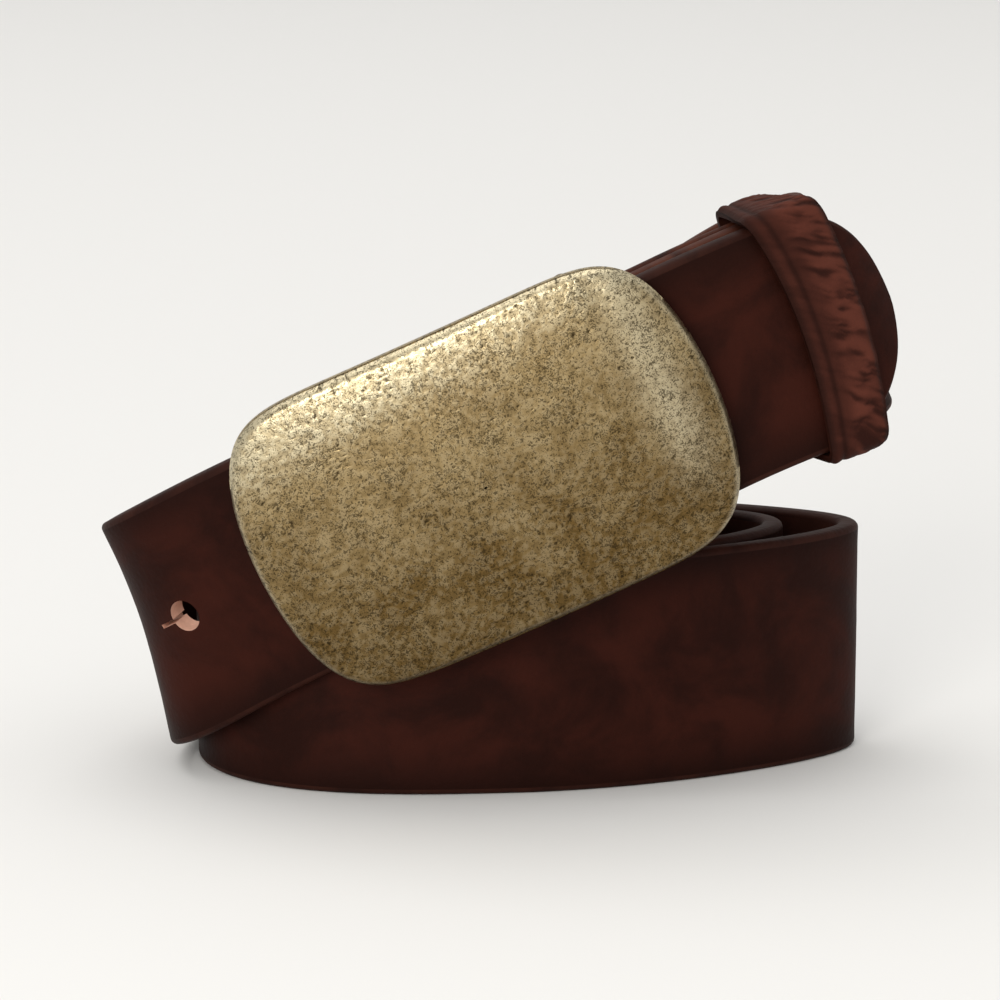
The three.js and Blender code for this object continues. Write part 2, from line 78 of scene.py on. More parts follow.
PLATE_LONG, PLATE_HIGH, PLATE_POW = 38.6, STRAP_WIDTH / 2 + 6, 2 / 7.8
PLATE_THICK, PLATE_UP, PLATE_X = 2.6, 0.7, -5.2
PLATE_STAND = STRAP_THICK / 2 + PLATE_THICK + 4.85
BOW_LONG, BOW_ENDS, BOW_HIGH = 2.0, 1.8, 1.2
HINGE_X, HINGE_INSIDE, LUG_THICK, LUG_BEVEL = 17.5, STRAP_WIDTH / 2 + 0.5, 1.2, 0.2
EYE, EYE_REACH, FOOT = 3.1, 3.4, 4.6
WIRE, WIRE_REACH, WIRE_CORNER = 2.2, 6.0, 1.7
HOOK_X, PEG, PEG_HEAD, PEG_HEAD_LONG, PEG_LEAN, PEG_PAST = -27.0, 1.45, 1.85, 1.6, 4.0, 0.9
HOOK_BASE, HOOK_BASE_THICK = 4.2, 1.0
HOLE, SLIT, SLIT_LONG, HOLE_PITCH, HOLES = 2.65, 0.7, 5.8, 27.5, 5
KEEPER_AT, KEEPER_LONG, KEEPER_THICK, ROOM, ROOM_UP, KEEPER_CORNER = 31.8, 10.5, 1.5, 0.85, 0.5, 2.6
FLAP, FLAP_THICK, JOIN, SCREW_AT = 39.0, 2.2, 8.0, (KEEPER_AT - 21.6, KEEPER_AT - 12.2)
FLAP_BACK = -STRAP_THICK / 2 - GAP - FLAP_THICK
SCREW_HEAD, HEAD_THICK, SEAT, OVER_SLOPE = 3.8, 1.0, -1.0, 0.375
BARREL, BORE, SHANK, SLOT, SLOT_DEEP = 2.3, 1.6, 1.25, 0.9, 0.6
STAPLE_WIRE, STAPLE_SPAN, STAPLE_OFFSET = 0.9, 6.4, 7.5

# ---- the stage: metres for the lights and the table, millimetres for the camera ------------------
KEY_PLACE, KEY_SIZE, KEY_TINT = (-0.6, 0.2, 2.2), 2.2, (1.0, 0.985, 0.96)
FRONT_PLACE, FRONT_SIZE, FRONT_TINT = (-0.40, -1.15, 0.45), 0.50, (1.0, 0.97, 0.91)
LIGHT_AIM = (0.0, 0.0, 0.05)
SHEET_FRONT, SHEET_REACH, SHEET_RADIUS, SHEET_WALL, SHEET_HALF_WIDTH = -2.5, 2.6, 0.6, 2.4, 4.0
CAMERA_STAND, CAMERA_AIM = (0.0, -650.0, 180.0), (0.0, 0.0, 45.0)
CAMERA_LENS, CAMERA_SENSOR, CAMERA_SHIFT = 143.64, 36.0, (-0.020, -0.027)


# ---- small mathematics ---------------------------------------------------------------------------
def smooth(start, end, value):
    """Fifth-order step: t cubed times (6 t squared - 15 t + 10), t going from 0 at start to 1 at end."""
    t = np.clip((value - start) / (end - start), 0.0, 1.0)
    return t ** 3 * (t * (6 * t - 15) + 10)


def signed_pow(value, power):
    """The value's size raised to a power, with its sign kept."""
    return np.sign(value) * np.abs(value) ** power


def mix(a, b, t):
    """The value a fraction t of the way from a to b."""
    return a + (b - a) * t


def unit(vectors):
    """Rows scaled to length one."""
    return vectors / np.linalg.norm(vectors, axis=-1, keepdims=True)


def turned_about(vector, axis, degrees):
    """A vector turned about a unit axis by the right-hand rule (Rodrigues' formula)."""
    c, s = math.cos(math.radians(degrees)), math.sin(math.radians(degrees))
    return vector * c + np.cross(axis, vector) * s + axis * (axis @ vector) * (1 - c)


def lattice(x, y, seed):
    """Value noise in the plane: random corner values of unit cells, blended by a fifth-order step."""
    table = np.random.default_rng(seed).random((256, 256))
    xi, yi = np.floor(x).astype(int), np.floor(y).astype(int)
    tx, ty = smooth(0, 1, x - xi), smooth(0, 1, y - yi)
    low = mix(table[xi % 256, yi % 256], table[(xi + 1) % 256, yi % 256], tx)
    high = mix(table[xi % 256, (yi + 1) % 256], table[(xi + 1) % 256, (yi + 1) % 256], tx)
    return mix(low, high, ty) * 2 - 1


def cloud(x, y, seed, octaves=4, gain=0.55):
    """Sum of value noises, each turned, twice as fine and `gain` times as strong as the one before."""
    total, weight, strength = 0.0, 1.0, 0.0
    for octave in range(octaves):
        total = total + weight * lattice(x, y, seed + octave)
        strength += weight
        x, y = 1.6 * x - 1.2 * y + 7.3, 1.2 * x + 1.6 * y + 3.1
        weight *= gain
    return total / strength


# ---- the strap's course --------------------------------------------------------------------------
def course(angle):
    """Middle of the strap and the way across it, for angles in degrees along the coil.

    Level turns are a teardrop: x is a signed power of the cosine, y a sine that tapers with x. Each
    turn inwards is shorter and shallower. The first and last stretch blend into a sloping loop.
    """
    c, s = np.cos(np.radians(angle)), np.sin(np.radians(angle))
    turn = (LEFT_END - 180 - angle) / 360
    right = c > 0
    half = np.where(right, HALF_RIGHT - STEP_RIGHT * turn, HALF_LEFT - PITCH * turn)
    power = np.where(right, POW_RIGHT - POW_RIGHT_STEP * turn, POW_LEFT - POW_LEFT_STEP * turn)
    depth = HALF_DEPTH - PITCH * turn
    level_x = half * signed_pow(c, power)
    level_y = MIDDLE_Y + depth * s * (1 - (EGG - EGG_STEP * turn) * c) + RISE * np.maximum(c, 0) ** 2

    first = angle < 360
    inset = np.where(first, np.where(right, INNER_RIGHT, LAYER_STEP), 0.0)
    loop_half = np.where(right, LOOP_RIGHT, LOOP_LEFT) - inset
    loop_x = loop_half * signed_pow(c, np.where(right, LOOP_POW_RIGHT, LOOP_POW_LEFT))
    loop_depth = np.where(first, np.where(s > 0, INNER_BACK, LOOP_DEPTH - LAYER_STEP), LOOP_DEPTH)
    loop_y = LOOP_MIDDLE_Y + loop_depth * s

    plan = np.maximum(smooth(LEFT_END - 45, LEFT_END + 55, angle), 1 - smooth(0, 165, angle))
    climb = np.maximum(smooth(LEFT_END - 45, LEFT_END + 75, angle), 1 - smooth(0, 215, angle))
    tilt = np.maximum(smooth(LEFT_END - 85, LEFT_END + 85, angle), 1 - smooth(-10, 140, angle))
    x, y = mix(level_x, loop_x, plan), mix(level_y, loop_y, plan)
    climbing = math.tan(math.radians(SLOPE)) * (x - HEIGHT_X)
    raised = HEIGHT + climbing - DROOP * np.maximum(x - DROOP_X, 0) ** 2
    z = mix(STRAP_WIDTH / 2, raised, climb)
    lean, nod = -math.sin(math.radians(LEAN)), -math.sin(math.radians(NOD))
    slope_up = np.array([lean, nod, math.sqrt(1 - lean ** 2 - nod ** 2)])
    up = unit(mix(np.array([0.0, 0.0, 1.0]), slope_up, tilt[:, None]))
    return np.stack([x, y, z], axis=1), up


class Frames:
    """Rows of point, along, up (across the strap) and out (away from the coil)."""

    def __init__(self, point, along, up, out):
        self.point, self.along, self.up, self.out = point, along, up, out

    def shifted(self, out=0.0, up=0.0):
        """The same frames moved outwards and upwards."""
        return Frames(self.point + self.out * out + self.up * up, self.along, self.up, self.out)

    def swept(self, up, out):
        """One ring of points for each frame, from offsets up and out."""
        raised = self.point[:, None] + up[..., None] * self.up[:, None]
        return raised + out[..., None] * self.out[:, None]

    def place(self, x, y, z):
        """Row-frame points of local x along, y up, z out."""
        x, y, z = (np.asarray(value, float)[..., None] for value in (x, y, z))
        return self.point + x * self.along + y * self.up + z * self.out


def course_table():
    """Frames every tenth of a degree, and each one's distance along the strap."""
    angle = np.arange(COURSE_START, LEFT_END + TIP_ANGLE + 1e-9, 0.1)
    point, up = course(angle)
    along = unit(course(angle + 0.25)[0] - course(angle - 0.25)[0])
    up = unit(up - (up * along).sum(axis=1, keepdims=True) * along)
    steps = np.linalg.norm(np.diff(point, axis=0), axis=1)
    return np.concatenate([[0.0], np.cumsum(steps)]), angle, point, along, up


DISTANCE, ANGLE, POINT, ALONG, UP = course_table()
STRAP_END = DISTANCE[-1]
LAST_FROM = float(np.interp(LEFT_END, ANGLE, DISTANCE))


def frames_at(s):
    """Frames at distances along the strap, straight-line blends of the table."""
    def read(rows):
        return np.stack([np.interp(s, DISTANCE, rows[:, i]) for i in range(3)], axis=-1)
    along = unit(read(ALONG))
    up = read(UP)
    up = unit(up - (up * along).sum(axis=-1, keepdims=True) * along)
    return Frames(read(POINT), along, up, np.cross(along, up))


def crossing(origin, direction, reach, low, high):
    """Distance along the strap where it first passes a plane, found between two samples."""
    s = np.linspace(low, high, 6000)
    gap = (frames_at(s).point - origin) @ direction - reach
    i = np.nonzero(gap[:-1] * gap[1:] <= 0)[0][0]
    return float(s[i] - gap[i] * (s[i + 1] - s[i]) / (gap[i + 1] - gap[i]))


def bow(x, y):
    """How far the plate's face falls back: squares of x and y and a sixth power towards the ends."""
    along = x / PLATE_LONG
    return BOW_LONG * along ** 2 + BOW_ENDS * along ** 6 + BOW_HIGH * (y / PLATE_HIGH) ** 2


def plate_back(x, y):
    """Height of the plate's back face."""
    return -bow(x, y) - PLATE_THICK


PLATE = frames_at(crossing(np.zeros(3), np.array([1.0, 0, 0]), PLATE_X, LAST_FROM, STRAP_END))
PLATE = PLATE.shifted(PLATE_STAND, PLATE_UP)
STRAP_MIDDLE = -PLATE_UP
LUG_TOP = HINGE_INSIDE + LUG_THICK
HINGE_Z = plate_back(HINGE_X, LUG_TOP - STRAP_MIDDLE) - GAP - EYE_REACH
BAR_S = crossing(PLATE.point, PLATE.along, HINGE_X + WIRE_REACH, 0, 60)
BAR_SEAT = frames_at(BAR_S)
FOLD_RADIUS = WIRE / 2 + GAP + STRAP_THICK / 2
BAR = BAR_SEAT.shifted(-FOLD_RADIUS)
HOOK_S = crossing(PLATE.point, PLATE.along, HOOK_X, LAST_FROM, STRAP_END)
KEEPER_S = crossing(BAR_SEAT.point, BAR_SEAT.along, KEEPER_AT, LAST_FROM, STRAP_END)
KEEPER_SEAT = frames_at(KEEPER_S)


def flap_depth(s):
    """How far the flap's middle lies behind the strap's, from the bar outwards."""
    return mix(2 * FOLD_RADIUS, (STRAP_THICK + FLAP_THICK) / 2 + GAP, smooth(1, JOIN, s))


BACK_SEAT = OVER_SLOPE * (flap_depth(0) - flap_depth(JOIN))


# ---- meshes --------------------------------------------------------------------------------------
def grid_faces(rows, columns, wrap=False):
    """Four-sided faces of a grid stored row by row, its columns closed into rings if `wrap`."""
    i = np.arange(rows - 1)[:, None]
    j = np.arange(columns if wrap else columns - 1)[None, :]
    nxt = (j + 1) % columns
    here, above = i * columns, (i + 1) * columns
    return np.stack([here + j, here + nxt, above + nxt, above + j], -1).reshape(-1, 4)


def make_mesh(name, points, faces, extra=()):
    """A mesh from millimetre points in the course's frame, four-sided faces and a few larger ones."""
    mesh = bpy.data.meshes.new(name)
    polygons = np.asarray(faces).tolist() + [list(ring) for ring in extra]
    mesh.from_pydata((np.asarray(points).reshape(-1, 3) * MM + SHIFT).tolist(), [], polygons)
    mesh.update()
    return mesh


def face_out(mesh):
    """Turns the whole mesh right way round if its signed volume is negative."""
    mesh.calc_loop_triangles()
    co = np.empty(len(mesh.vertices) * 3)
    mesh.vertices.foreach_get("co", co)
    tri = np.empty(len(mesh.loop_triangles) * 3, int)
    mesh.loop_triangles.foreach_get("vertices", tri)
    a, b, c = co.reshape(-1, 3)[tri.reshape(-1, 3)].transpose(1, 0, 2)
    if np.einsum("ij,ij->", a, np.cross(b, c)) < 0:
        mesh.flip_normals()


def corner_layer(mesh, name, per_vertex):
    """A UV map whose corners take their vertex's two numbers."""
    layer = mesh.uv_layers.new(name=name)
    index = np.empty(len(mesh.loops), int)
    mesh.loops.foreach_get("vertex_index", index)
    layer.uv.foreach_set("vector", np.asarray(per_vertex, np.float32)[index].ravel())


def add_piece(mesh, materials, body, nodes, sharp=35.0):
    """Puts a finished mesh in the scene as a piece that rides on a body and stands for CAD nodes."""
    for material in materials:
        mesh.materials.append(material)
    mesh.polygons.foreach_set("use_smooth", np.ones(len(mesh.polygons), bool))
    mesh.set_sharp_from_angle(angle=math.radians(sharp))
    piece = bpy.data.objects.new(mesh.name, mesh)
    bpy.context.scene.collection.objects.link(piece)
    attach(piece, body)
    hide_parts(*nodes)
    return piece


def loft(points, close=True):
    """Grid faces over rings of points, and one face to close each end."""
    rows, columns = points.shape[:2]
    last = (rows - 1) * columns
    ends = [list(range(columns))[::-1], list(range(last, last + columns))] if close else []
    return grid_faces(rows, columns, wrap=True), ends


def lathe(name, frames, profile, sides=48):
    """A profile of [radius, height] turned about the frame's out direction.

    The profile's ends lie on the axis, or it closes on itself.
    """
    profile = np.asarray(profile, float)
    turn = np.linspace(0, 2 * np.pi, sides, endpoint=False)
    radius, height = profile[:, 0:1], profile[:, 1:2]
    points = frames.place(radius * np.cos(turn), radius * np.sin(turn), height + 0 * turn)
    faces, _ = loft(points, close=False)
    mesh = make_mesh(name, points, faces)
    merge_close(mesh)
    face_out(mesh)
    return mesh


def merge_close(mesh, distance=1e-7):
    """Joins vertices at one place, so poles and closed profiles become watertight."""
    bm = bmesh.new()
    bm.from_mesh(mesh)
    bmesh.ops.remove_doubles(bm, verts=bm.verts, dist=distance)
    bmesh.ops.dissolve_degenerate(bm, edges=bm.edges, dist=distance)
    bm.to_mesh(mesh)
    bm.free()
    mesh.update()


def bent_wire(name, points, radius, corner, sides=20, arc=8):
    """A round wire along straight runs joined by quadratic arcs that start `corner` from each bend."""
    points = [np.asarray(p, float) for p in points]
    centre = [points[0]]
    for before, at, after in zip(points, points[1:], points[2:]):
        enter, leave = at + unit(before - at) * corner, at + unit(after - at) * corner
        t = np.linspace(0, 1, arc)[:, None]
        centre.extend((1 - t) ** 2 * enter + 2 * t * (1 - t) * at + t ** 2 * leave)
    centre.append(points[-1])
    centre = np.array(centre)
    along = unit(np.gradient(centre, axis=0))
    side = np.cross(points[1] - points[0], points[2] - points[1])
    side = unit(side - (along @ side)[:, None] * along)
    other = np.cross(along, side)
    turn = np.linspace(0, 2 * np.pi, sides, endpoint=False)
    rings = centre[:, None] + radius * (np.cos(turn)[None, :, None] * side[:, None]
                                        + np.sin(turn)[None, :, None] * other[:, None])
    faces, ends = loft(rings)
    mesh = make_mesh(name, rings, faces, ends)
    face_out(mesh)
    return mesh


def strap_section(half_width, half_thick, edge):
    """A rounded bar across the strap: offsets up and out, and where each is: front 0, edge 1, back 2."""
    arc = np.radians(np.linspace(0, 90, 5))
    across = np.linspace(1, -1, 17)[1:-1]
    e = np.minimum(edge, np.minimum(half_width * 0.45, half_thick * 0.7))[:, None]
    w, half_thick = half_width[:, None], half_thick[:, None]
    parts = []
    for up_sign, out_sign, turn in ((1, 1, arc), (-1, 1, arc[::-1]), (-1, -1, arc), (1, -1, arc[::-1])):
        corner_up = up_sign * (w - e + e * np.cos(turn))
        corner_out = out_sign * (half_thick - e + e * np.sin(turn))
        parts.append((corner_up, corner_out))
    face = (w - e) * across
    front, back = (face, half_thick + 0 * face), (-face, -half_thick + 0 * face)
    order = [parts[0], front, parts[1], parts[2], back, parts[3]]
    up = np.concatenate([p[0] for p in order], axis=1)
    out = np.concatenate([p[1] for p in order], axis=1)
    kind = np.concatenate([np.full(p[0].shape[1], k) for p, k in zip(order, (1, 0, 1, 1, 2, 1))])
    return up, out, kind


def strap_rows(step):
    """Frames, half widths, half thicknesses and lengths: flap, fold round the bar, body and tip."""
    flap_s = np.arange(0, FLAP + step / 2, step)[::-1]
    seat = frames_at(BAR_S + flap_s)
    flap = seat.shifted(-flap_depth(flap_s)[:, None])
    turn = np.radians(np.arange(170, 5, -10))[:, None]
    fold_out = BAR_SEAT.out * np.cos(turn) - BAR_SEAT.along * np.sin(turn)
    fold_point = BAR.point + fold_out * FOLD_RADIUS
    body_s = np.arange(BAR_S, STRAP_END - TIP_ROUND, step)
    tip_s = STRAP_END - TIP_ROUND + TIP_ROUND * np.sin(np.radians(np.linspace(0, 87, 26)))
    main_s = np.concatenate([body_s, tip_s])
    main = frames_at(main_s)
    past = np.clip((main_s - (STRAP_END - TIP_ROUND)) / TIP_ROUND, 0, 1)
    tapered = np.sqrt(np.maximum(1 - past ** 2, 0.003))
    half = np.concatenate([np.full(len(flap_s) + len(turn), 1.0), tapered])
    rows = Frames(np.concatenate([flap.point, fold_point, main.point]), None,
                  np.concatenate([flap.up, np.repeat(BAR_SEAT.up[None], len(turn), 0), main.up]),
                  np.concatenate([-flap.out, fold_out, main.out]))
    length = np.concatenate([-flap_s - 12, -np.linspace(11, 1, len(turn)), main_s - BAR_S])
    thick = np.full(len(length), STRAP_THICK)
    thick[:len(flap_s)] = mix(STRAP_THICK, FLAP_THICK, smooth(1, JOIN, flap_s))
    return rows, half * STRAP_WIDTH / 2, thick / 2, length


def keyhole_outline():
    """A round punch with a slit that runs away from the tip, as x along and y across."""
    half_angle = math.pi - math.asin(SLIT / 2 / HOLE)
    turn = np.linspace(-half_angle, half_angle, 40)
    x = np.concatenate([HOLE * np.cos(turn), [-SLIT_LONG, -SLIT_LONG]])
    y = np.concatenate([HOLE * np.sin(turn), [SLIT / 2, -SLIT / 2]])
    return x, y


def prism(frames, x, y, low, high):
    """Points of an outline at two heights above a frame, as two rings."""
    heights = np.array([low, high])[:, None]
    return frames.place(x[None] + 0 * heights, y[None] + 0 * heights, heights + 0 * x[None])


def hole_cutters():
    """One mesh of all the keyholes and screw holes, each a closed prism through the strap."""
    points, faces, extra, start = [], [], [], 0
    turn = np.linspace(0, 2 * np.pi, 28, endpoint=False)
    bore, pocket = BARREL + GAP, SCREW_HEAD + GAP
    floor = STRAP_THICK / 2 + SEAT - GAP
    jobs = [(frames_at(HOOK_S - i * HOLE_PITCH), *keyhole_outline(), -STRAP_THICK, STRAP_THICK)
            for i in range(HOLES)]
    for seat in (frames_at(BAR_S + at) for at in SCREW_AT):
        jobs.append((seat, bore * np.cos(turn), bore * np.sin(turn), -2.2 * STRAP_THICK, floor + 0.1))
        jobs.append((seat, pocket * np.cos(turn), pocket * np.sin(turn), floor, STRAP_THICK))
    for seat, x, y, low, high in jobs:
        rings = prism(seat, x, y, low, high)
        quads, ends = loft(rings)
        points.append(rings.reshape(-1, 3))
        faces.append(quads + start)
        extra += [[index + start for index in ring] for ring in ends]
        start += rings.shape[0] * rings.shape[1]
    mesh = make_mesh("hole_cutters", np.concatenate(points), np.concatenate(faces), extra)
    face_out(mesh)
    return mesh


def cut_mesh(mesh, cutter_mesh, material):
    """The mesh with the cutter's shape taken out; the new walls carry `material`."""
    cutter_mesh.materials.append(material)
    body, cutter = (bpy.data.objects.new(m.name, m) for m in (mesh, cutter_mesh))
    for obj in (body, cutter):
        bpy.context.scene.collection.objects.link(obj)
    boolean = body.modifiers.new("holes", "BOOLEAN")
    boolean.operation, boolean.object, boolean.solver = "DIFFERENCE", cutter, "MANIFOLD"
    boolean.material_mode = "TRANSFER"
    result = bpy.data.meshes.new_from_object(body.evaluated_get(bpy.context.evaluated_depsgraph_get()))
    name = mesh.name
    for obj, data in ((body, mesh), (cutter, cutter_mesh)):
        bpy.data.objects.remove(obj)
        bpy.data.meshes.remove(data)
    result.name = name
    return result


# ---- shader helpers ------------------------------------------------------------------------------
class Tree:
    """A node tree and short ways to fill it."""

    def __init__(self, tree):
        self.tree = tree

    def fill(self, node, inputs):
        """Gives a node's inputs, by name or number, a value each or a socket to link."""
        for key, value in inputs.items():
            if isinstance(value, bpy.types.NodeSocket):
                self.tree.links.new(value, node.inputs[key])
            else:
                node.inputs[key].default_value = value

    def add(self, kind, inputs=None, **settings):
        """A node with its settings, then its inputs."""
        node = self.tree.nodes.new(kind)
        for key, value in settings.items():
            setattr(node, key, value)
        self.fill(node, inputs or {})
        return node

    def group(self, group, **inputs):
        """A node group put in place; its outputs by name."""
        return self.add("ShaderNodeGroup", inputs, node_tree=group).outputs

    def math(self, operation, a, b=0.0):
        """One sum on two numbers or sockets."""
        return self.add("ShaderNodeMath", {0: a, 1: b}, operation=operation).outputs[0]

    def span(self, value, low, high, to_low=0.0, to_high=1.0):
        """A value mapped smoothly from low..high to to_low..to_high."""
        inputs = {"Value": value, "From Min": low, "From Max": high,
                  "To Min": to_low, "To Max": to_high}
        return self.add("ShaderNodeMapRange", inputs, interpolation_type="SMOOTHSTEP").outputs["Result"]

    def noise(self, vector, scale, detail=3.0, rough=0.55, distort=0.0):
        """Fractal noise at a scale."""
        inputs = {"Vector": vector, "Scale": scale, "Detail": detail, "Roughness": rough,
                  "Distortion": distort}
        return self.add("ShaderNodeTexNoise", inputs).outputs["Fac"]

    def cells(self, vector, scale):
        """Distance inside random cells."""
        node = self.add("ShaderNodeTexVoronoi", {"Vector": vector, "Scale": scale})
        return node.outputs["Distance"]

    def blend(self, fac, a, b):
        """Two colours mixed by a factor."""
        return self.add("ShaderNodeMix", {0: fac, 6: a, 7: b}, data_type="RGBA").outputs[2]

    def bump(self, height, strength, distance):
        """A normal from a height; strength and distance (metres) say how deep."""
        inputs = {"Height": height, "Strength": strength, "Distance": distance}
        return self.add("ShaderNodeBump", inputs).outputs[0]

    def millimetres(self, vector):
        """A place in metres, on a UV map or in object coordinates, as millimetres."""
        node = self.add("ShaderNodeVectorMath", {0: vector, 1: (1000.0,) * 3}, operation="MULTIPLY")
        return node.outputs[0]

    def map_named(self, name):
        """The coordinates of one of the mesh's own UV maps."""
        return self.add("ShaderNodeUVMap", uv_map=name).outputs[0]

    def parts(self, vector):
        """The numbers that a vector is made of."""
        return self.add("ShaderNodeSeparateXYZ", {0: vector}).outputs


def new_group(name, inputs, build):
    """A shader node group made once: {name: default} inputs, and the outputs that `build` returns.

    Its position input is a vector, everything else a number.
    """
    if name in bpy.data.node_groups:
        return bpy.data.node_groups[name]
    group = bpy.data.node_groups.new(name, "ShaderNodeTree")
    group.interface.new_socket("Position", in_out="INPUT", socket_type="NodeSocketVector")
    for key, default in inputs.items():
        socket = group.interface.new_socket(key, in_out="INPUT", socket_type="NodeSocketFloat")
        socket.default_value = default
    t = Tree(group)
    made = build(t, t.add("NodeGroupInput").outputs)
    for key in made:
        group.interface.new_socket(key, in_out="OUTPUT", socket_type="NodeSocketFloat")
    t.fill(t.add("NodeGroupOutput"), made)
    return group


def hide_grain(t, given):
    """Fine pebbles, broad mottle and stray pores, from a position in millimetres."""
    position = given["Position"]
    fine = t.math("DIVIDE", 1.0, given["Grain"])
    pebbles = t.cells(position, fine)
    creases = t.noise(position, t.math("MULTIPLY", fine, 0.45), 4.0, 0.6, 0.6)
    return {
        "Height": t.math("ADD", t.math("MULTIPLY", pebbles, -0.6), t.math("MULTIPLY", creases, 0.9)),
        "Mottling": t.noise(position, t.math("DIVIDE", 1.0, given["Mottle"]), 5.0, 0.6, 0.4),
        "Pores": t.span(t.cells(position, t.math("MULTIPLY", fine, 0.5)), 0.10, 0.0),
    }


def cast_patina(t, given):
    """Cast brass left rough: granular relief, dark specks in its hollows and a cloudy tone."""
    position = given["Position"]
    fine = t.math("DIVIDE", 1.0, given["Grain"])
    broad = t.math("DIVIDE", 1.0, given["Cloud"])
    sand = t.noise(position, fine, 3.0, 0.65, 0.8)
    patches = t.noise(position, t.math("MULTIPLY", broad, 1.6), 3.0, 0.6)
    threshold = t.span(patches, 0.35, 0.7, 0.44, 0.50)
    strokes = t.noise(position, t.math("MULTIPLY", fine, 1.05), 2.0, 0.6, 1.4)
    return {
        "Height": t.math("ADD", sand, t.math("MULTIPLY", t.cells(position, fine), 0.4)),
        "Specks": t.span(t.math("SUBTRACT", threshold, strokes), -0.03, 0.06),
        "Clouding": t.noise(position, broad, 4.0, 0.55, 0.3),
    }


def hide(t, position, grain, mottle):
    """The leather group at a position, with its two sizes in millimetres."""
    group = new_group("hide_grain", {"Grain": 0.8, "Mottle": 14.0}, hide_grain)
    return t.group(group, Position=position, Grain=grain, Mottle=mottle)


def cast(t, position, grain, clouds):
    """The brass group at a position, with its two sizes in millimetres."""
    group = new_group("cast_patina", {"Grain": 0.5, "Cloud": 9.0}, cast_patina)
    return t.group(group, Position=position, Grain=grain, Cloud=clouds)


def new_material(name):
    """An empty node material, its tree and its Principled shader."""
    material = bpy.data.materials.new(name)
    material.use_nodes = True
    return material, Tree(material.node_tree), material.node_tree.nodes["Principled BSDF"]


def rgba(colour, shade=1.0):
    """A colour with full alpha, darkened if wanted."""
    return (*(c * shade for c in colour[:3]), 1.0)


def strap_position(t):
    """Millimetres along and across the strap, from its own UV map, as a vector and its two parts."""
    position = t.millimetres(t.map_named("strap"))
    along, across = t.parts(position)[:2]
    return position, along, across


def outer_leather(settings):
    """Waxed mahogany leather: red in the middle of the strap, burnished towards both edges."""
    material, t, shader = new_material("mahogany_leather")
    position, _, across = strap_position(t)
    grain = hide(t, position, 0.75, 16.0)
    wander = t.math("MULTIPLY", t.math("SUBTRACT", grain["Mottling"], 0.5), 9.0)
    from_middle = t.math("ADD", t.math("ABSOLUTE", across), wander)
    burnish = t.span(from_middle, 11.0, 21.0, 0.0, 0.85)
    cloudy = t.span(grain["Mottling"], 0.36, 0.66)
    waxed = rgba(settings.burnish_colour)
    colour = t.blend(cloudy, rgba(settings.deep_colour), rgba(settings.red_colour))
    colour = t.blend(burnish, colour, waxed)
    t.fill(shader, {
        "Base Color": t.blend(t.math("MULTIPLY", grain["Pores"], 0.6), colour, waxed),
        "Roughness": t.span(grain["Mottling"], 0.3, 0.7, 0.50, 0.62),
        "Specular IOR Level": settings.gloss,
        "Normal": t.bump(grain["Height"], 0.5, 0.00010),
    })
    return material


def flesh_leather(settings):
    """The strap's inside: matt, fibrous and a warmer red-brown."""
    material, t, shader = new_material("flesh_side_leather")
    position, _, _ = strap_position(t)
    grain = hide(t, position, 0.5, 9.0)
    t.fill(shader, {
        "Base Color": t.blend(grain["Mottling"], rgba(settings.flesh_dark), rgba(settings.flesh_colour)),
        "Roughness": 0.85,
        "Specular IOR Level": 0.08,
        "Normal": t.bump(grain["Height"], 0.6, 0.00012),
    })
    return material


def edge_leather(settings):
    """The cut edge, waxed dark with the red fibre showing through where it is worn."""
    material, t, shader = new_material("burnished_edge_leather")
    position, along, _ = strap_position(t)
    grain = hide(t, position, 0.6, 7.0)
    near_tip = t.span(along, 120.0, 60.0, 0.25, 1.0)
    worn = t.math("MULTIPLY", t.span(grain["Mottling"], 0.3, 0.6), near_tip)
    t.fill(shader, {
        "Base Color": t.blend(worn, rgba(settings.deep_colour), rgba(settings.edge_red)),
        "Roughness": 0.55,
        "Specular IOR Level": 0.08,
        "Normal": t.bump(grain["Height"], 0.5, 0.00010),
    })
    return material


def raw_leather(settings):
    """The undyed wall of a punched hole."""
    material, t, shader = new_material("raw_punched_leather")
    tone = t.noise(t.add("ShaderNodeTexCoord").outputs["Object"], 1500.0, 3.0)
    t.fill(shader, {
        "Base Color": t.blend(tone, rgba(settings.raw_colour, 0.7), rgba(settings.raw_colour)),
        "Roughness": 0.8,
    })
    return material


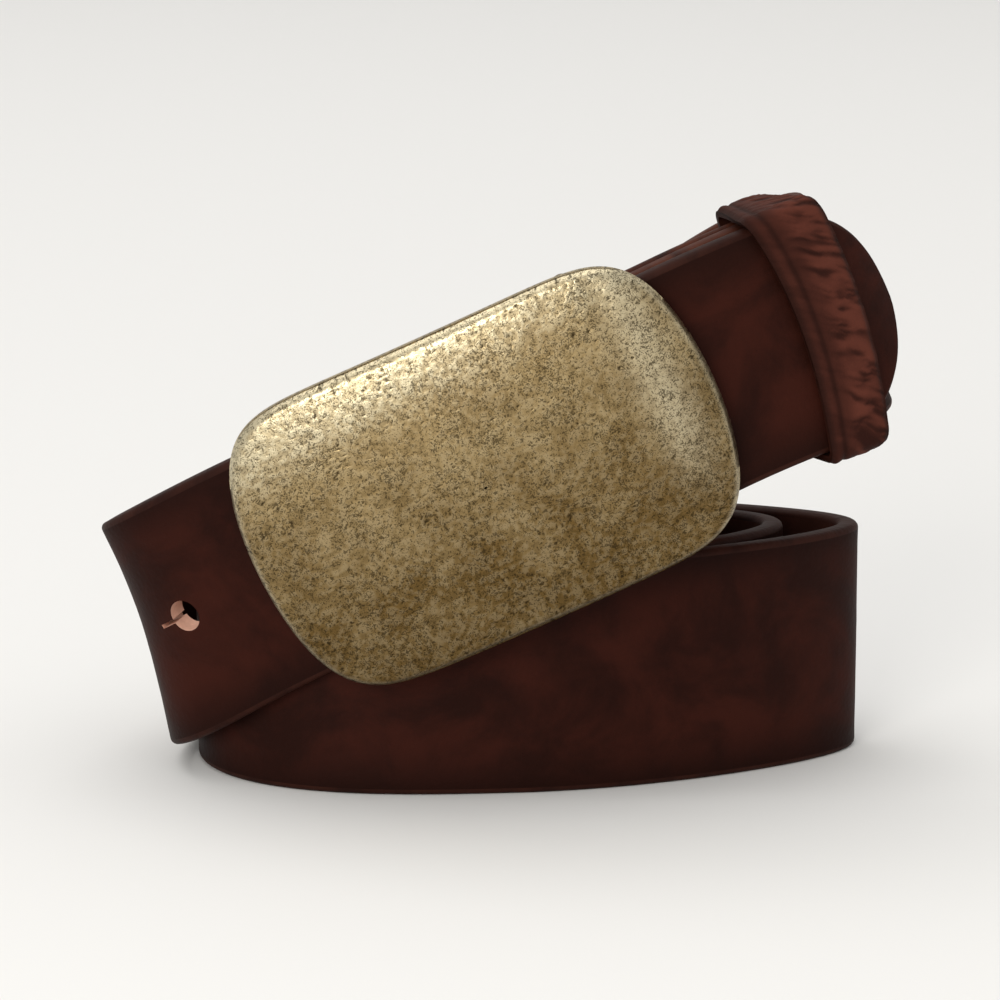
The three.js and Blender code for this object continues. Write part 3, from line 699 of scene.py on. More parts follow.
def plate_brass(settings):
    """Antiqued cast brass: pale where rubbed, olive where clouded, dark in the pits; painted highlight
    along the top and on a crest near the right end, and painted shade darker towards the bottom.
    """
    material, t, shader = new_material("antique_plate_brass")
    place = t.millimetres(t.add("ShaderNodeTexCoord").outputs["Object"])
    # The relief map's second channel is rubbed wear plus painted highlight along the top and on a crest
    # near the right end.
    hollow, rubbed = t.parts(t.map_named("relief"))[:2]
    height = t.parts(t.millimetres(t.map_named("plate")))[1]
    patina = cast(t, place, 0.42, 9.0)
    pitted = rgba(settings.brass_dark)
    cloudy = t.math("MULTIPLY", t.span(patina["Clouding"], 0.36, 0.64), 0.45)
    # Painted light and shade: paler towards the top of the plate and more olive towards the bottom, as
    # the light from above and the darker floor would make it.
    cloudy = t.math("ADD", cloudy, t.span(height, -24.0, 20.0, -0.25, 0.70))
    colour = t.blend(cloudy, rgba(settings.brass_olive), rgba(settings.brass_pale))
    # Bright brass over the rubbed wear and over the painted highlight.
    colour = t.blend(t.math("MULTIPLY", rubbed, 0.7), colour, rgba(settings.brass_rubbed_and_highlight))
    colour = t.blend(t.math("MULTIPLY", patina["Specks"], 0.75), colour, pitted)
    dull, shiny = settings.roughness + 0.07, settings.roughness - 0.05
    rough = t.span(patina["Clouding"], 0.3, 0.7, dull, shiny)
    t.fill(shader, {
        "Base Color": t.blend(hollow, colour, pitted),
        "Metallic": 1.0,
        "Roughness": t.math("ADD", rough, t.math("MULTIPLY", rubbed, -0.08)),
        "Normal": t.bump(patina["Height"], 0.55, 0.00006),
    })
    return material


def small_brass(settings, name="darkened_brass", shade=0.8):
    """Turned and drawn brass, darkened, for the wire, the screws and the hook."""
    material, t, shader = new_material(name)
    place = t.millimetres(t.add("ShaderNodeTexCoord").outputs["Object"])
    patina = cast(t, place, 0.35, 5.0)
    olive, pale = rgba(settings.brass_olive, shade), rgba(settings.brass_pale, shade)
    colour = t.blend(t.span(patina["Clouding"], 0.35, 0.65), olive, pale)
    specks = t.math("MULTIPLY", patina["Specks"], 0.5)
    t.fill(shader, {
        "Base Color": t.blend(specks, colour, rgba(settings.brass_dark)),
        "Metallic": 1.0,
        "Roughness": t.span(patina["Clouding"], 0.3, 0.7, 0.45, 0.32),
        "Normal": t.bump(patina["Height"], 0.25, 0.00003),
    })
    return material


def keeper_leather(settings):
    """Thin soft leather: painted light on the ridges of the wrinkles and painted shade in their hollows,
    a painted shadow line along one crease, waxed dark rims and random darker mottling.
    """
    material, t, shader = new_material("creased_keeper_leather")
    position, _, _ = strap_position(t)
    # Relief map: painted light on the wrinkle ridges with painted shade in the hollows, then the waxed
    # rims and a painted shadow line along one crease.
    ridge_highlight, edge = t.parts(t.map_named("relief"))[:2]
    grain = hide(t, position, 0.5, 6.0)
    dark = rgba(settings.keeper_dark)
    colour = t.blend(ridge_highlight, dark, rgba(settings.keeper_ridge_highlight))
    mottled = t.math("MULTIPLY", t.span(grain["Mottling"], 0.4, 0.7), 0.4)
    colour = t.blend(mottled, colour, dark)
    t.fill(shader, {
        # Waxed rims and the painted shadow line along the crease.
        "Base Color": t.blend(edge, colour, rgba(settings.burnish_colour)),
        "Roughness": 0.62,
        "Specular IOR Level": settings.gloss,
        "Normal": t.bump(grain["Height"], 0.5, 0.00010),
    })
    return material


# ---- settings a user would change ----------------------------------------------------------------
def colour_prop(name, description, default):
    """A colour setting."""
    return FloatVectorProperty(name=name, description=description, default=default,
                               subtype="COLOR", min=0, max=1)


def length_prop(name, description, millimetres):
    """A length setting, given in millimetres and kept in metres."""
    return FloatProperty(name=name, description=description, default=millimetres * MM,
                         unit="LENGTH", precision=6)


class StrapSettings(bpy.types.PropertyGroup):
    """Sizes and colours of the strap and its keeper."""
    edge_round: length_prop("Edge rounding", "Radius of the rubbed edges", 1.0)
    row_step: length_prop("Row spacing", "Distance between rows of the strap's skin", 1.1)
    ripple: length_prop("Ripple", "Height of the slow unevenness of the hide", 0.08)
    wrinkle: length_prop("Wrinkle", "Height of the creases in the keeper", 0.28)
    gloss: FloatProperty(name="Gloss", description="Strength of the leather's sheen",
                         default=0.05, min=0, max=1)
    red_colour: colour_prop("Red", "Lighter tone of the dyed leather", (0.0340, 0.0076, 0.0044))
    deep_colour: colour_prop("Deep", "Darker tone of the dyed leather", (0.0155, 0.0038, 0.0022))
    burnish_colour: colour_prop("Burnish", "Colour of the waxed edges", (0.0080, 0.0024, 0.0015))
    edge_red: colour_prop("Edge fibre", "Colour where an edge is worn through", (0.0663, 0.0187, 0.0101))
    flesh_colour: colour_prop("Flesh side", "Inside of the strap", (0.0468, 0.0140, 0.0086))
    flesh_dark: colour_prop("Flesh side, dark", "Darker fibre inside", (0.0203, 0.0062, 0.0039))
    raw_colour: colour_prop("Raw leather", "Wall of a punched hole", (0.72, 0.42, 0.31))
    # The two keeper tones paint light on the wrinkle ridges and shade in their hollows.
    keeper_ridge_highlight: colour_prop("Keeper ridge", "Rubbed ridges of the keeper", (0.0920, 0.0260, 0.0165))
    keeper_dark: colour_prop("Keeper hollow", "Hollows of the keeper", (0.0234, 0.0066, 0.0043))


class BuckleSettings(bpy.types.PropertyGroup):
    """Relief and colours of the brass."""
    cell: length_prop("Cell", "Grid size of the plate's face", 0.27)
    grain_height: length_prop("Grain", "Height of the cast grain", 0.035)
    pit_depth: length_prop("Pits", "Depth of the pits", 0.10)
    rim_round: length_prop("Rim", "Radius of the rubbed rim", 1.8)
    roughness: FloatProperty(name="Roughness", description="Mean roughness of the face",
                             default=0.40, min=0, max=1)
    # Pale and olive brass also paint light and shade: the plate is blended from olive at the bottom to
    # pale at the top.
    brass_pale: colour_prop("Pale brass", "Rubbed brass", (0.345, 0.250, 0.120))
    brass_olive: colour_prop("Olive brass", "Clouded brass", (0.160, 0.098, 0.032))
    # Bright brass paints rubbed wear and also the painted highlight along the top and on a right-hand
    # crest.
    brass_rubbed_and_highlight: colour_prop("Bright brass", "Polished rim and crests", (0.74, 0.66, 0.46))
    brass_dark: colour_prop("Pit", "Dark patina in the pits", (0.030, 0.020, 0.009))


class StageSettings(bpy.types.PropertyGroup):
    """Light, table and camera."""
    floor_colour: colour_prop("Table", "Colour of the table and backdrop", (0.79, 0.785, 0.775))
    key_power: FloatProperty(name="Key", description="Power of the large soft light",
                             default=20.0, unit="POWER")
    front_power: FloatProperty(name="Front", description="Power of the low front light", default=7.0,
                               unit="POWER")
    sky: FloatProperty(name="Sky", description="Strength of the even light all round",
                       default=0.80, min=0)


# ---- operators, one for each piece or group ------------------------------------------------------
class BELT_OT_strap(bpy.types.Operator):
    """Builds the coiled strap with its fold, tip and holes"""
    bl_idname = "belt.strap"
    bl_label = "Strap"

    def execute(self, context):
        """Carries a rounded bar along the course, then takes out the holes."""
        settings = context.scene.belt_strap
        rows, half, half_thick, length = strap_rows(settings.row_step / MM)
        up, out, kind = strap_section(half, half_thick, settings.edge_round / MM)
        waves = cloud(length[:, None] / 14 + 0 * up, up / 11 + 40 * (out > 0), seed=5, octaves=3)
        out = out + settings.ripple / MM * waves * (kind != 1)
        points = rows.swept(up, out)
        faces, ends = loft(points)
        mesh = make_mesh("strap", points, faces, ends)
        along = np.broadcast_to(length[:, None], up.shape)
        corner_layer(mesh, "strap", np.stack([along, up], axis=-1).reshape(-1, 2) * MM)
        for material in (outer_leather(settings), edge_leather(settings), flesh_leather(settings)):
            mesh.materials.append(material)
        after = np.roll(kind, -1)
        per_column = np.where(kind == 1, after, kind)
        index = np.concatenate([np.tile(per_column, len(length) - 1), [1, 1]])
        mesh.polygons.foreach_set("material_index", index.astype(np.int32))
        face_out(mesh)
        mesh = cut_mesh(mesh, hole_cutters(), raw_leather(settings))
        if len(mesh.polygons) < len(length):
            raise RuntimeError("the strap lost its faces when its holes were cut")
        add_piece(mesh, [], "belt", ["belt_strap"])
        return {"FINISHED"}


class BELT_OT_plate(bpy.types.Operator):
    """Builds the buckle's pitted plate"""
    bl_idname = "belt.plate"
    bl_label = "Plate"

    def execute(self, context):
        """Maps a square grid on the barrel-shaped outline, bows it and rounds its rim."""
        settings = context.scene.belt_buckle
        count = 2 * int(PLATE_LONG / (settings.cell / MM) / 1.15) + 1
        side = np.linspace(-1, 1, count)
        a, b = np.meshgrid(side, side)
        reach = np.maximum(np.abs(a), np.abs(b))
        edge_x, edge_y = self.outline(a, b)
        x, y = reach * edge_x, reach * edge_y
        inward = (1 - reach) * np.hypot(x, y) / np.maximum(reach, 1e-6)
        rim = settings.rim_round / MM
        drop = rim - np.sqrt(np.maximum(rim ** 2 - np.maximum(rim - inward, 0) ** 2, 0))
        # The rubbed mask carries wear and also painted highlight along the top and on a right-hand
        # crest.
        relief, hollow, rubbed = self.relief(x, y, inward, settings)
        z = -bow(x, y) - drop + relief - 1.1 * np.abs(y / PLATE_HIGH) ** 4
        front = PLATE.place(x, y, z).reshape(-1, 3)
        border = self.border(count)
        rings, start = [front], len(front)
        faces = [grid_faces(count, count)]
        previous = border
        edge_x, edge_y = x.ravel()[border], y.ravel()[border]
        flat = [np.stack([x.ravel(), y.ravel()], 1)]
        for scale, depth in ((0.996, -PLATE_THICK * 0.75), (0.975, -PLATE_THICK), (0.8, -PLATE_THICK),
                             (0.5, -PLATE_THICK), (0.2, -PLATE_THICK)):
            ring_x, ring_y = edge_x * scale, edge_y * scale
            flat.append(np.stack([ring_x, ring_y], 1))
            rings.append(PLATE.place(ring_x, ring_y, depth - bow(ring_x, ring_y)))
            now = np.arange(start, start + len(border))
            nxt, nxt_previous = np.roll(now, -1), np.roll(previous, -1)
            faces.append(np.stack([previous, nxt_previous, nxt, now], axis=1))
            previous, start = now, start + len(border)
        points = np.concatenate(rings)
        mesh = make_mesh("plate_face", points, np.concatenate(faces), [previous.tolist()])
        back = len(points) - len(front)
        corner_layer(mesh, "plate", np.concatenate(flat) * MM)
        # The second mask is rubbed wear plus painted highlight along the top edge and on a crest near
        # the right end.
        masks = np.stack([hollow.ravel(), rubbed.ravel()], 1)
        corner_layer(mesh, "relief", np.concatenate([masks, np.tile([0.15, 0.2], (back, 1))]))
        face_out(mesh)
        add_piece(mesh, [plate_brass(settings)], "buckle", ["buckle_plate"], sharp=60)
        return {"FINISHED"}

    @staticmethod
    def outline(a, b):
        """The outline's x and y for each place on the square, spread evenly round it.

        The outline is |x / long| to a high power plus |y / high| squared, together one.
        """
        wide = np.linspace(0, 0.96, 400)
        top = np.sqrt(1 - wide ** (2 / PLATE_POW))
        tall = np.linspace(top[-1], 0, 400)[1:]
        quarter_x = np.concatenate([wide, (1 - tall ** 2) ** (PLATE_POW / 2)]) * PLATE_LONG
        quarter_y = np.concatenate([top, tall]) * PLATE_HIGH
        px = np.concatenate([quarter_x[::-1], -quarter_x[1:], -quarter_x[-2::-1], quarter_x[1:]])
        py = np.concatenate([quarter_y[::-1], quarter_y[1:], -quarter_y[-2::-1], -quarter_y[1:]])
        length = np.concatenate([[0], np.cumsum(np.hypot(np.diff(px), np.diff(py)))])
        m = np.maximum(np.maximum(np.abs(a), np.abs(b)), 1e-9)
        u, v = a / m, b / m
        across, along = np.where(u > 0, v, 4 - v), np.where(v > 0, 2 - u, 6 + u)
        eighth = np.where(np.abs(u) >= np.abs(v), across, along)
        share = (eighth / 8) % 1.0 * length[-1]
        return np.interp(share, length, px), np.interp(share, length, py)

    @staticmethod
    def border(count):
        """Indices of the square grid's border, once round."""
        line = np.arange(count)
        south, east = line[:-1], line[:-1] * count + count - 1
        north, west = (count - 1) * count + line[:0:-1], line[:0:-1] * count
        return np.concatenate([south, east, north, west])

    @staticmethod
    def relief(x, y, inward, settings):
        """Height of the cast face, how hollow each place is, and a mask of rubbed wear with painted
        highlight added along the top and on a crest near the right end.

        Broad dents, grains from warped value noise, and pits where a cloud falls under a level that
        changes over the plate.
        """
        dents = cloud(x / 11, y / 11, seed=11, octaves=3)
        warp_x, warp_y = cloud(x / 1.4, y / 1.4, 21, 2), cloud(x / 1.4, y / 1.4, 31, 2)
        grain = 0.5 + 0.9 * cloud(x / 0.75 + 0.5 * warp_x, y / 0.75 + 0.5 * warp_y, seed=41, octaves=2)
        level = -0.50 + 0.14 * cloud(x / 9, y / 9, seed=51, octaves=2)
        level = level + 0.08 * np.exp(-((inward - 1.5) / 2.5) ** 2)
        pits = smooth(0.0, 0.2, level - cloud(x / 0.55 + 0.3 * warp_x, y / 0.55, seed=61, octaves=3))
        crease = np.exp(-((x - 28.5 + 0.06 * y + dents) / 1.6) ** 2)
        height = 0.10 * dents - 0.10 * crease
        height = height + settings.grain_height / MM * (grain - 0.5) - settings.pit_depth / MM * pits
        height = height * smooth(0, 1.2, inward + 0.5)
        # Painted highlight: a paler band along the top edge and a bright crest near the right end stand
        # in for light falling on the plate; the rim term and the 0.15 share on grain crests below are
        # rubbed wear.
        top_highlight = smooth(0.45, 1.05, y / PLATE_HIGH - 0.12 * x / PLATE_LONG + 0.15 * dents)
        ridge_highlight = 0.6 * np.exp(-((x - 31.0) / 3.5) ** 2) * smooth(-22, 0, y)
        bright = (0.15 + 0.5 * top_highlight) * smooth(0.2, 0.9, grain) * (1 - pits) + 0.55 * top_highlight + ridge_highlight
        # Rubbed mask: rim wear plus the crest wear and the painted highlight above.
        rubbed = smooth(1.4, 0.2, inward) * 0.5 + bright
        return height, np.clip(pits * 0.9 + 0.2 * smooth(0.35, 0.0, grain), 0, 1), np.clip(rubbed, 0, 1)


class BELT_OT_hardware(bpy.types.Operator):
    """Builds the hinge lugs, the hook, the wire bale and the screws"""
    bl_idname = "belt.hardware"
    bl_label = "Hinge, hook and screws"

    def execute(self, context):
        """Turned pieces from profiles, wires along bent lines and lugs from their side outline."""
        settings = context.scene.belt_buckle
        brass = small_brass(settings)
        cast_brass = small_brass(settings, "darkened_cast_brass", 0.7)
        self.lugs(cast_brass)
        self.hook(brass, cast_brass)
        arm = LUG_TOP + GAP + WIRE / 2

        def hinge_point(y):
            return PLATE.place(HINGE_X, y + STRAP_MIDDLE, HINGE_Z)
        bends = [hinge_point(HINGE_INSIDE + 0.2), hinge_point(arm), BAR.place(0, arm, 0),
                 BAR.place(0, -arm, 0), hinge_point(-arm), hinge_point(-HINGE_INSIDE - 0.2)]
        bale = bent_wire("bale_wire", bends, WIRE / 2, WIRE_CORNER)
        add_piece(bale, [brass], "bale", ["wire_bale"])
        for number, at in enumerate(SCREW_AT, 1):
            self.screw(frames_at(BAR_S + at), number, brass)
        return {"FINISHED"}

    @staticmethod
    def lugs(material):
        """Two ears: a curved foot on the plate's back and a round eye for the wire."""
        feet = np.array([-FOOT, 0.0, FOOT]) + HINGE_X
        foot_z = plate_back(feet, LUG_TOP - STRAP_MIDDLE) - GAP
        turn = np.radians(np.linspace(15, -195, 30))
        outline_x = np.concatenate([feet, HINGE_X + EYE * np.cos(turn)])
        outline_z = np.concatenate([foot_z, HINGE_Z + EYE * np.sin(turn)])
        count = len(outline_x)
        around = np.arctan2(outline_z - HINGE_Z, outline_x - HINGE_X)
        bore = WIRE / 2 + GAP + 0.1
        bore_x, bore_z = HINGE_X + bore * np.cos(around), HINGE_Z + bore * np.sin(around)
        for name, low in (("upper", HINGE_INSIDE), ("lower", -LUG_TOP)):
            rings = []
            for x, z, y in ((bore_x, bore_z, low), (outline_x, outline_z, low),
                            (outline_x, outline_z, low + LUG_THICK), (bore_x, bore_z, low + LUG_THICK)):
                rings.append(PLATE.place(x, np.full(count, y + STRAP_MIDDLE), z))
            rings.append(rings[0])
            mesh = make_mesh(f"lug_{name}", np.array(rings), grid_faces(5, count, wrap=True))
            merge_close(mesh)
            face_out(mesh)
            piece = add_piece(mesh, [material], "buckle", [f"hinge_lug_{name}"])
            rounding = piece.modifiers.new("rubbed edges", "BEVEL")
            rounding.width, rounding.segments, rounding.limit_method = LUG_BEVEL * MM, 2, "ANGLE"

    @staticmethod
    def hook(brass, cast_brass):
        """The peg with its head, and the ring it is brazed to."""
        seat = frames_at(HOOK_S)
        axis = PLATE.up
        leaning = Frames(seat.point, turned_about(PLATE.along, axis, PEG_LEAN), axis,
                         turned_about(PLATE.out, axis, PEG_LEAN))
        rise = plate_back(HOOK_X, 0) - (seat.point - PLATE.point) @ PLATE.out
        root_x = HOOK_X + math.tan(math.radians(PEG_LEAN)) * rise
        low, root = -STRAP_THICK / 2 - GAP - PEG_PAST - PEG_HEAD_LONG, rise - GAP - 0.3
        profile = [[0, low], [PEG_HEAD * 0.6, low], [PEG_HEAD * 0.85, low + 0.2], [PEG_HEAD, low + 0.6],
                   [PEG_HEAD, low + PEG_HEAD_LONG - 0.5], [PEG, low + PEG_HEAD_LONG],
                   [PEG, root], [0, root]]
        peg = lathe("hook_pin", leaning, profile)
        add_piece(peg, [brass], "buckle", ["hook_peg"])
        slope = (plate_back(root_x + HOOK_BASE, 0) - plate_back(root_x - HOOK_BASE, 0)) / (2 * HOOK_BASE)
        tilt = -math.degrees(math.atan(slope))
        foot = Frames(PLATE.place(root_x, STRAP_MIDDLE, plate_back(root_x, 0) - GAP - 0.15),
                      turned_about(PLATE.along, axis, tilt), axis, turned_about(PLATE.out, axis, tilt))
        bore = PEG + GAP + 0.5
        low, edge = -HOOK_BASE_THICK, 0.3
        ring = [[bore, low], [HOOK_BASE - edge, low], [HOOK_BASE, low + edge],
                [HOOK_BASE, 0], [bore, 0], [bore, low]]
        ring = lathe("hook_foot", foot, ring)
        add_piece(ring, [cast_brass], "buckle", ["hook_base"])

    @staticmethod
    def screw(seat, number, brass):
        """A hollow post from the front and a slotted screw from the back."""
        front, end = STRAP_THICK / 2 + SEAT, FLAP_BACK
        face, small, large = front + HEAD_THICK, 0.12, 0.4
        post = [[BORE, end], [BARREL, end], [BARREL, front], [SCREW_HEAD, front],
                [SCREW_HEAD, face - 0.35], [SCREW_HEAD - small, face - small],
                [SCREW_HEAD - large, face], [0, face], [0, front], [BORE, front], [BORE, end]]
        post = lathe(f"post_{number}", seat, post)
        add_piece(post, [brass], "belt", [f"screw_post_{number}"])
        back = end - BACK_SEAT
        face, shank_top = back - HEAD_THICK, STRAP_THICK / 2 + SEAT - GAP
        profile = [[0, face], [SCREW_HEAD - large, face], [SCREW_HEAD - small, face + small],
                   [SCREW_HEAD, face + 0.35], [SCREW_HEAD, back], [SHANK, back],
                   [SHANK, shank_top], [0, shank_top]]
        mesh = lathe(f"screw_{number}", seat, profile)
        x = np.array([-1.0, 1.0, 1.0, -1.0]) * 1.5 * SCREW_HEAD
        y = np.array([-0.5, -0.5, 0.5, 0.5]) * SLOT
        rings = prism(seat, x, y, face - SLOT_DEEP, face + SLOT_DEEP)
        quads, ends = loft(rings)
        cutter = make_mesh(f"slot_{number}", rings, quads, ends)
        face_out(cutter)
        mesh.materials.append(brass)
        mesh = cut_mesh(mesh, cutter, brass)
        add_piece(mesh, [], "belt", [f"strap_screw_{number}"])


class BELT_OT_keeper(bpy.types.Operator):
    """Builds the wrinkled leather keeper and its two staples"""
    bl_idname = "belt.keeper"
    bl_label = "Keeper"

    def execute(self, context):
        """A rounded ring wrinkled by noise stretched round it, an inner skin and two wire staples."""
        settings = context.scene.belt_strap
        low, high = self.opening()
        across, ring = np.linspace(-1, 1, 31), 300
        back_across = np.linspace(1, -1, 9)
        outer, lengths = self.skin(across, ring, low, high, KEEPER_THICK, KEEPER_CORNER)
        inner, _ = self.skin(back_across, ring, low, high, 0.0, KEEPER_CORNER - KEEPER_THICK)
        u = across[:, None] * KEEPER_LONG / 2 + 0 * lengths[None]
        v = lengths[None] + 0 * u
        warp = cloud(u / 4, v / 4, seed=71, octaves=2)
        folds = cloud((u + 0.6 * v) / 4.5 + 0.6 * warp, v - 0.6 * u + 0.8 * warp, seed=81, octaves=2)
        folds = 0.5 + 0.9 * folds
        rim = smooth(0.72, 1.0, np.abs(across))[:, None]
        crease = 0.7 * np.exp(-((across + 0.55) / 0.09) ** 2)[:, None]
        smooth_side = smooth(0.15, -0.45, across)[:, None]
        folds = mix(folds, 0.45, 0.75 * smooth_side)
        lift = settings.wrinkle / MM * (folds - 0.6) * (1 - 0.5 * rim) - 0.5 * rim ** 2 - 0.35 * crease
        away = outer - outer.mean(axis=1, keepdims=True)
        outer = outer + self.ring_normal(outer, away) * lift[..., None]
        points = np.concatenate([outer, inner, outer[:1]])
        mesh = make_mesh("keeper_band", points, grid_faces(len(points), ring, wrap=True))
        u_all = np.concatenate([u, back_across[:, None] * KEEPER_LONG / 2 + 0 * u[:9], u[:1]])
        v_all = np.concatenate([v, v[:9], v[:1]])
        # Painted light and shade: the wrinkle ridges lighter and the hollows darker. The end nearer the
        # plate is also made darker.
        worn = smooth(-0.2, 0.85, folds) * (1 - 0.55 * smooth_side)
        ridge_highlight = np.concatenate([worn, np.full((9, ring), 0.3), worn[:1]])
        # Darkened rims as waxed edges, and the crease line darkened as painted shade.
        edge = np.maximum(0.8 * rim, crease) + 0 * v
        edge = np.concatenate([edge, np.full((9, ring), 0.5), rim[:1] + 0 * v[:1]])
        corner_layer(mesh, "strap", np.stack([u_all, v_all], -1).reshape(-1, 2) * MM)
        corner_layer(mesh, "relief", np.stack([ridge_highlight, 0.85 * edge], -1).reshape(-1, 2))
        merge_close(mesh)
        face_out(mesh)
        skin = keeper_leather(settings)
        add_piece(mesh, [skin], "keeper", ["keeper_loop"], sharp=75)
        brass = bpy.data.materials["darkened_brass"]
        for name, side in (("upper", 1), ("lower", -1)):
            y, top, deep = side * STAPLE_OFFSET, low - 0.2, low - KEEPER_THICK - GAP - STAPLE_WIRE / 2
            bends = [KEEPER_SEAT.place(x * STAPLE_SPAN / 2, y, z)
                     for x, z in ((-1, top), (-1, deep), (1, deep), (1, top))]
            wire = bent_wire(f"staple_{name}", bends, STAPLE_WIRE / 2, 0.8, sides=14)
            add_piece(wire, [brass], "keeper", [f"keeper_staple_{name}"])
        return {"FINISHED"}

    @staticmethod
    def opening():
        """The keeper's inside, from behind the flap to the front of the tip stretch."""
        back = frames_at(BAR_S + np.arange(20, FLAP, 0.5)).shifted(FLAP_BACK).point - KEEPER_SEAT.point
        beside = np.abs(back @ KEEPER_SEAT.along) < KEEPER_LONG / 2
        return min(0.0, (back @ KEEPER_SEAT.out)[beside].min()) - ROOM, STRAP_THICK / 2 + ROOM

    @staticmethod
    def skin(across, ring, low, high, grow, corner):
        """Rounded rectangles round the strap, evenly spaced round, at places along it."""
        half_up = STRAP_WIDTH / 2 + ROOM_UP + grow
        bottom, top = low - grow, high + grow
        turn = np.radians(np.linspace(0, 90, 24))
        ups, outs = [], []
        for up, out, start in ((1, 1, 0), (-1, 1, 90), (-1, -1, 180), (1, -1, 270)):
            ups.append(up * (half_up - corner) + corner * np.cos(turn + math.radians(start)))
            centre = top - corner if out > 0 else bottom + corner
            outs.append(centre + corner * np.sin(turn + math.radians(start)))
        ups, outs = np.concatenate(ups), np.concatenate(outs)
        ups, outs = np.append(ups, ups[0]), np.append(outs, outs[0])
        length = np.concatenate([[0], np.cumsum(np.hypot(np.diff(ups), np.diff(outs)))])
        even = np.linspace(0, length[-1], ring, endpoint=False)
        ups, outs = np.interp(even, length, ups), np.interp(even, length, outs)
        t = ups / (half_up - grow)
        sway = (2.2 - 2.1 * t ** 2 - 0.9 * t) * smooth(bottom, top, outs)
        s = KEEPER_S + across[:, None] * KEEPER_LONG / 2 + sway[None]
        seats = frames_at(s.ravel())
        points = seats.place(0.0 * s.ravel(), np.tile(ups, len(across)), np.tile(outs, len(across)))
        return points.reshape(len(across), ring, 3), even

    @staticmethod
    def ring_normal(points, away):
        """Unit normals of the ring's skin, pointing away from its middle."""
        round_way = np.roll(points, -1, axis=1) - np.roll(points, 1, axis=1)
        long_way = np.gradient(points, axis=0)
        normal = unit(np.cross(round_way, long_way))
        return normal * np.sign((normal * away).sum(axis=-1, keepdims=True))


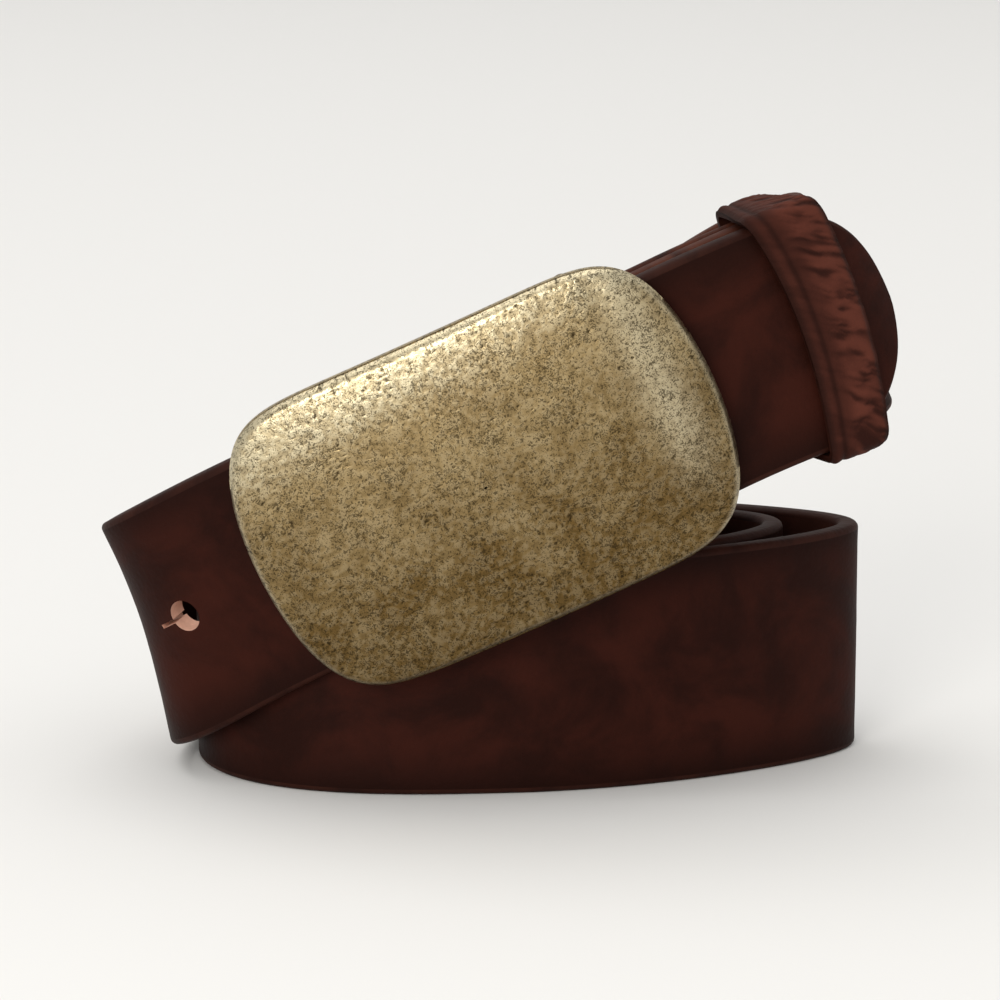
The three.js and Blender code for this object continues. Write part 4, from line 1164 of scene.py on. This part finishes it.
class BELT_OT_stage(bpy.types.Operator):
    """Sets out the table, the lights and the camera"""
    bl_idname = "belt.stage"
    bl_label = "Table, light and camera"

    def execute(self, context):
        """A pale sheet that curves up behind, a large soft light above, a side light and the camera."""
        settings = context.scene.belt_stage
        scene = context.scene
        self.table(settings)
        sky = bpy.data.worlds.new("studio")
        sky.use_nodes = True
        background = sky.node_tree.nodes["Background"]
        background.inputs["Color"].default_value = (1.0, 0.995, 0.98, 1.0)
        background.inputs["Strength"].default_value = settings.sky
        scene.world = sky
        self.light("key", KEY_PLACE, KEY_SIZE, settings.key_power, KEY_TINT)
        self.light("front", FRONT_PLACE, FRONT_SIZE, settings.front_power, FRONT_TINT)
        camera = bpy.data.cameras.new("camera")
        camera.lens, camera.sensor_width = CAMERA_LENS, CAMERA_SENSOR
        camera.shift_x, camera.shift_y = CAMERA_SHIFT
        camera.clip_end = 20.0
        holder = bpy.data.objects.new("camera", camera)
        scene.collection.objects.link(holder)
        stand, aim = (Vector(np.array(p) * MM + SHIFT) for p in (CAMERA_STAND, CAMERA_AIM))
        holder.location = stand
        holder.rotation_euler = (aim - stand).to_track_quat("-Z", "Y").to_euler()
        scene.camera = holder
        scene.view_settings.view_transform = "Standard"
        return {"FINISHED"}

    @staticmethod
    def table(settings):
        """A sheet that lies flat under the belt, then a quarter circle and a wall behind it."""
        turn = np.radians(np.linspace(0, 90, 40))
        back = SHEET_REACH + SHEET_RADIUS
        y = np.concatenate([[SHEET_FRONT], SHEET_REACH + SHEET_RADIUS * np.sin(turn), [back]])
        z = np.concatenate([[0.0], SHEET_RADIUS * (1 - np.cos(turn)), [SHEET_RADIUS + SHEET_WALL]])
        x = np.array([-SHEET_HALF_WIDTH, SHEET_HALF_WIDTH])
        points = np.stack(np.broadcast_arrays(x[None], y[:, None], z[:, None]), axis=-1).reshape(-1, 3)
        mesh = bpy.data.meshes.new("table_sheet")
        mesh.from_pydata(points.tolist(), [], grid_faces(len(y), 2).tolist())
        mesh.polygons.foreach_set("use_smooth", np.ones(len(mesh.polygons), bool))
        material, t, shader = new_material("pale_table")
        paint = rgba(settings.floor_colour)
        t.fill(shader, {"Base Color": paint, "Roughness": 0.9, "Specular IOR Level": 0.1})
        mesh.materials.append(material)
        sheet = bpy.data.objects.new("table_sheet", mesh)
        bpy.context.scene.collection.objects.link(sheet)

    @staticmethod
    def light(name, place, size, power, colour):
        """A square soft light aimed at the buckle."""
        data = bpy.data.lights.new(name, "AREA")
        data.size, data.energy, data.color = size, power, colour
        lamp = bpy.data.objects.new(name, data)
        lamp.location = place
        lamp.rotation_euler = (Vector(LIGHT_AIM) - Vector(place)).to_track_quat("-Z", "Y").to_euler()
        bpy.context.scene.collection.objects.link(lamp)


class BELT_PT_panel(bpy.types.Panel):
    """Lists the belt's steps in the sidebar"""
    bl_idname = "BELT_PT_panel"
    bl_label = "Belt"
    bl_space_type = "VIEW_3D"
    bl_region_type = "UI"
    bl_category = "Belt"

    def draw(self, context):
        """One button for each step."""
        for operator in STEPS:
            self.layout.operator(operator.bl_idname)


STEPS = (BELT_OT_strap, BELT_OT_plate, BELT_OT_hardware, BELT_OT_keeper, BELT_OT_stage)
GROUPS = {"belt_strap": StrapSettings, "belt_buckle": BuckleSettings, "belt_stage": StageSettings}


def frame_shift():
    """Metres from the course's own frame to the shared one: between the middles of two strap boxes."""
    rows, half, half_thick, _ = strap_rows(2.0)
    up, out, _ = strap_section(half, half_thick, 0.5)
    points = rows.swept(up, out).reshape(-1, 3)
    own = (points.min(axis=0) + points.max(axis=0)) / 2 * MM
    low, high = (np.array(corner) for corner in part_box("belt_strap"))
    return (low + high) / 2 - own


SHIFT = frame_shift()


def register():
    """Registers the settings, the operators and the panel."""
    for group in GROUPS.values():
        bpy.utils.register_class(group)
    for name, group in GROUPS.items():
        setattr(bpy.types.Scene, name, PointerProperty(type=group))
    for cls in (*STEPS, BELT_PT_panel):
        bpy.utils.register_class(cls)


def unregister():
    """Takes them away again."""
    for cls in (BELT_PT_panel, *reversed(STEPS)):
        bpy.utils.unregister_class(cls)
    for name, group in GROUPS.items():
        delattr(bpy.types.Scene, name)
        bpy.utils.unregister_class(group)


def main():
    """Builds everything in order."""
    register()
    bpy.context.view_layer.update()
    for operator in STEPS:
        category, name = operator.bl_idname.split(".")
        getattr(getattr(bpy.ops, category), name)()
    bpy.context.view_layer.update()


if __name__ == "__main__":
    main()
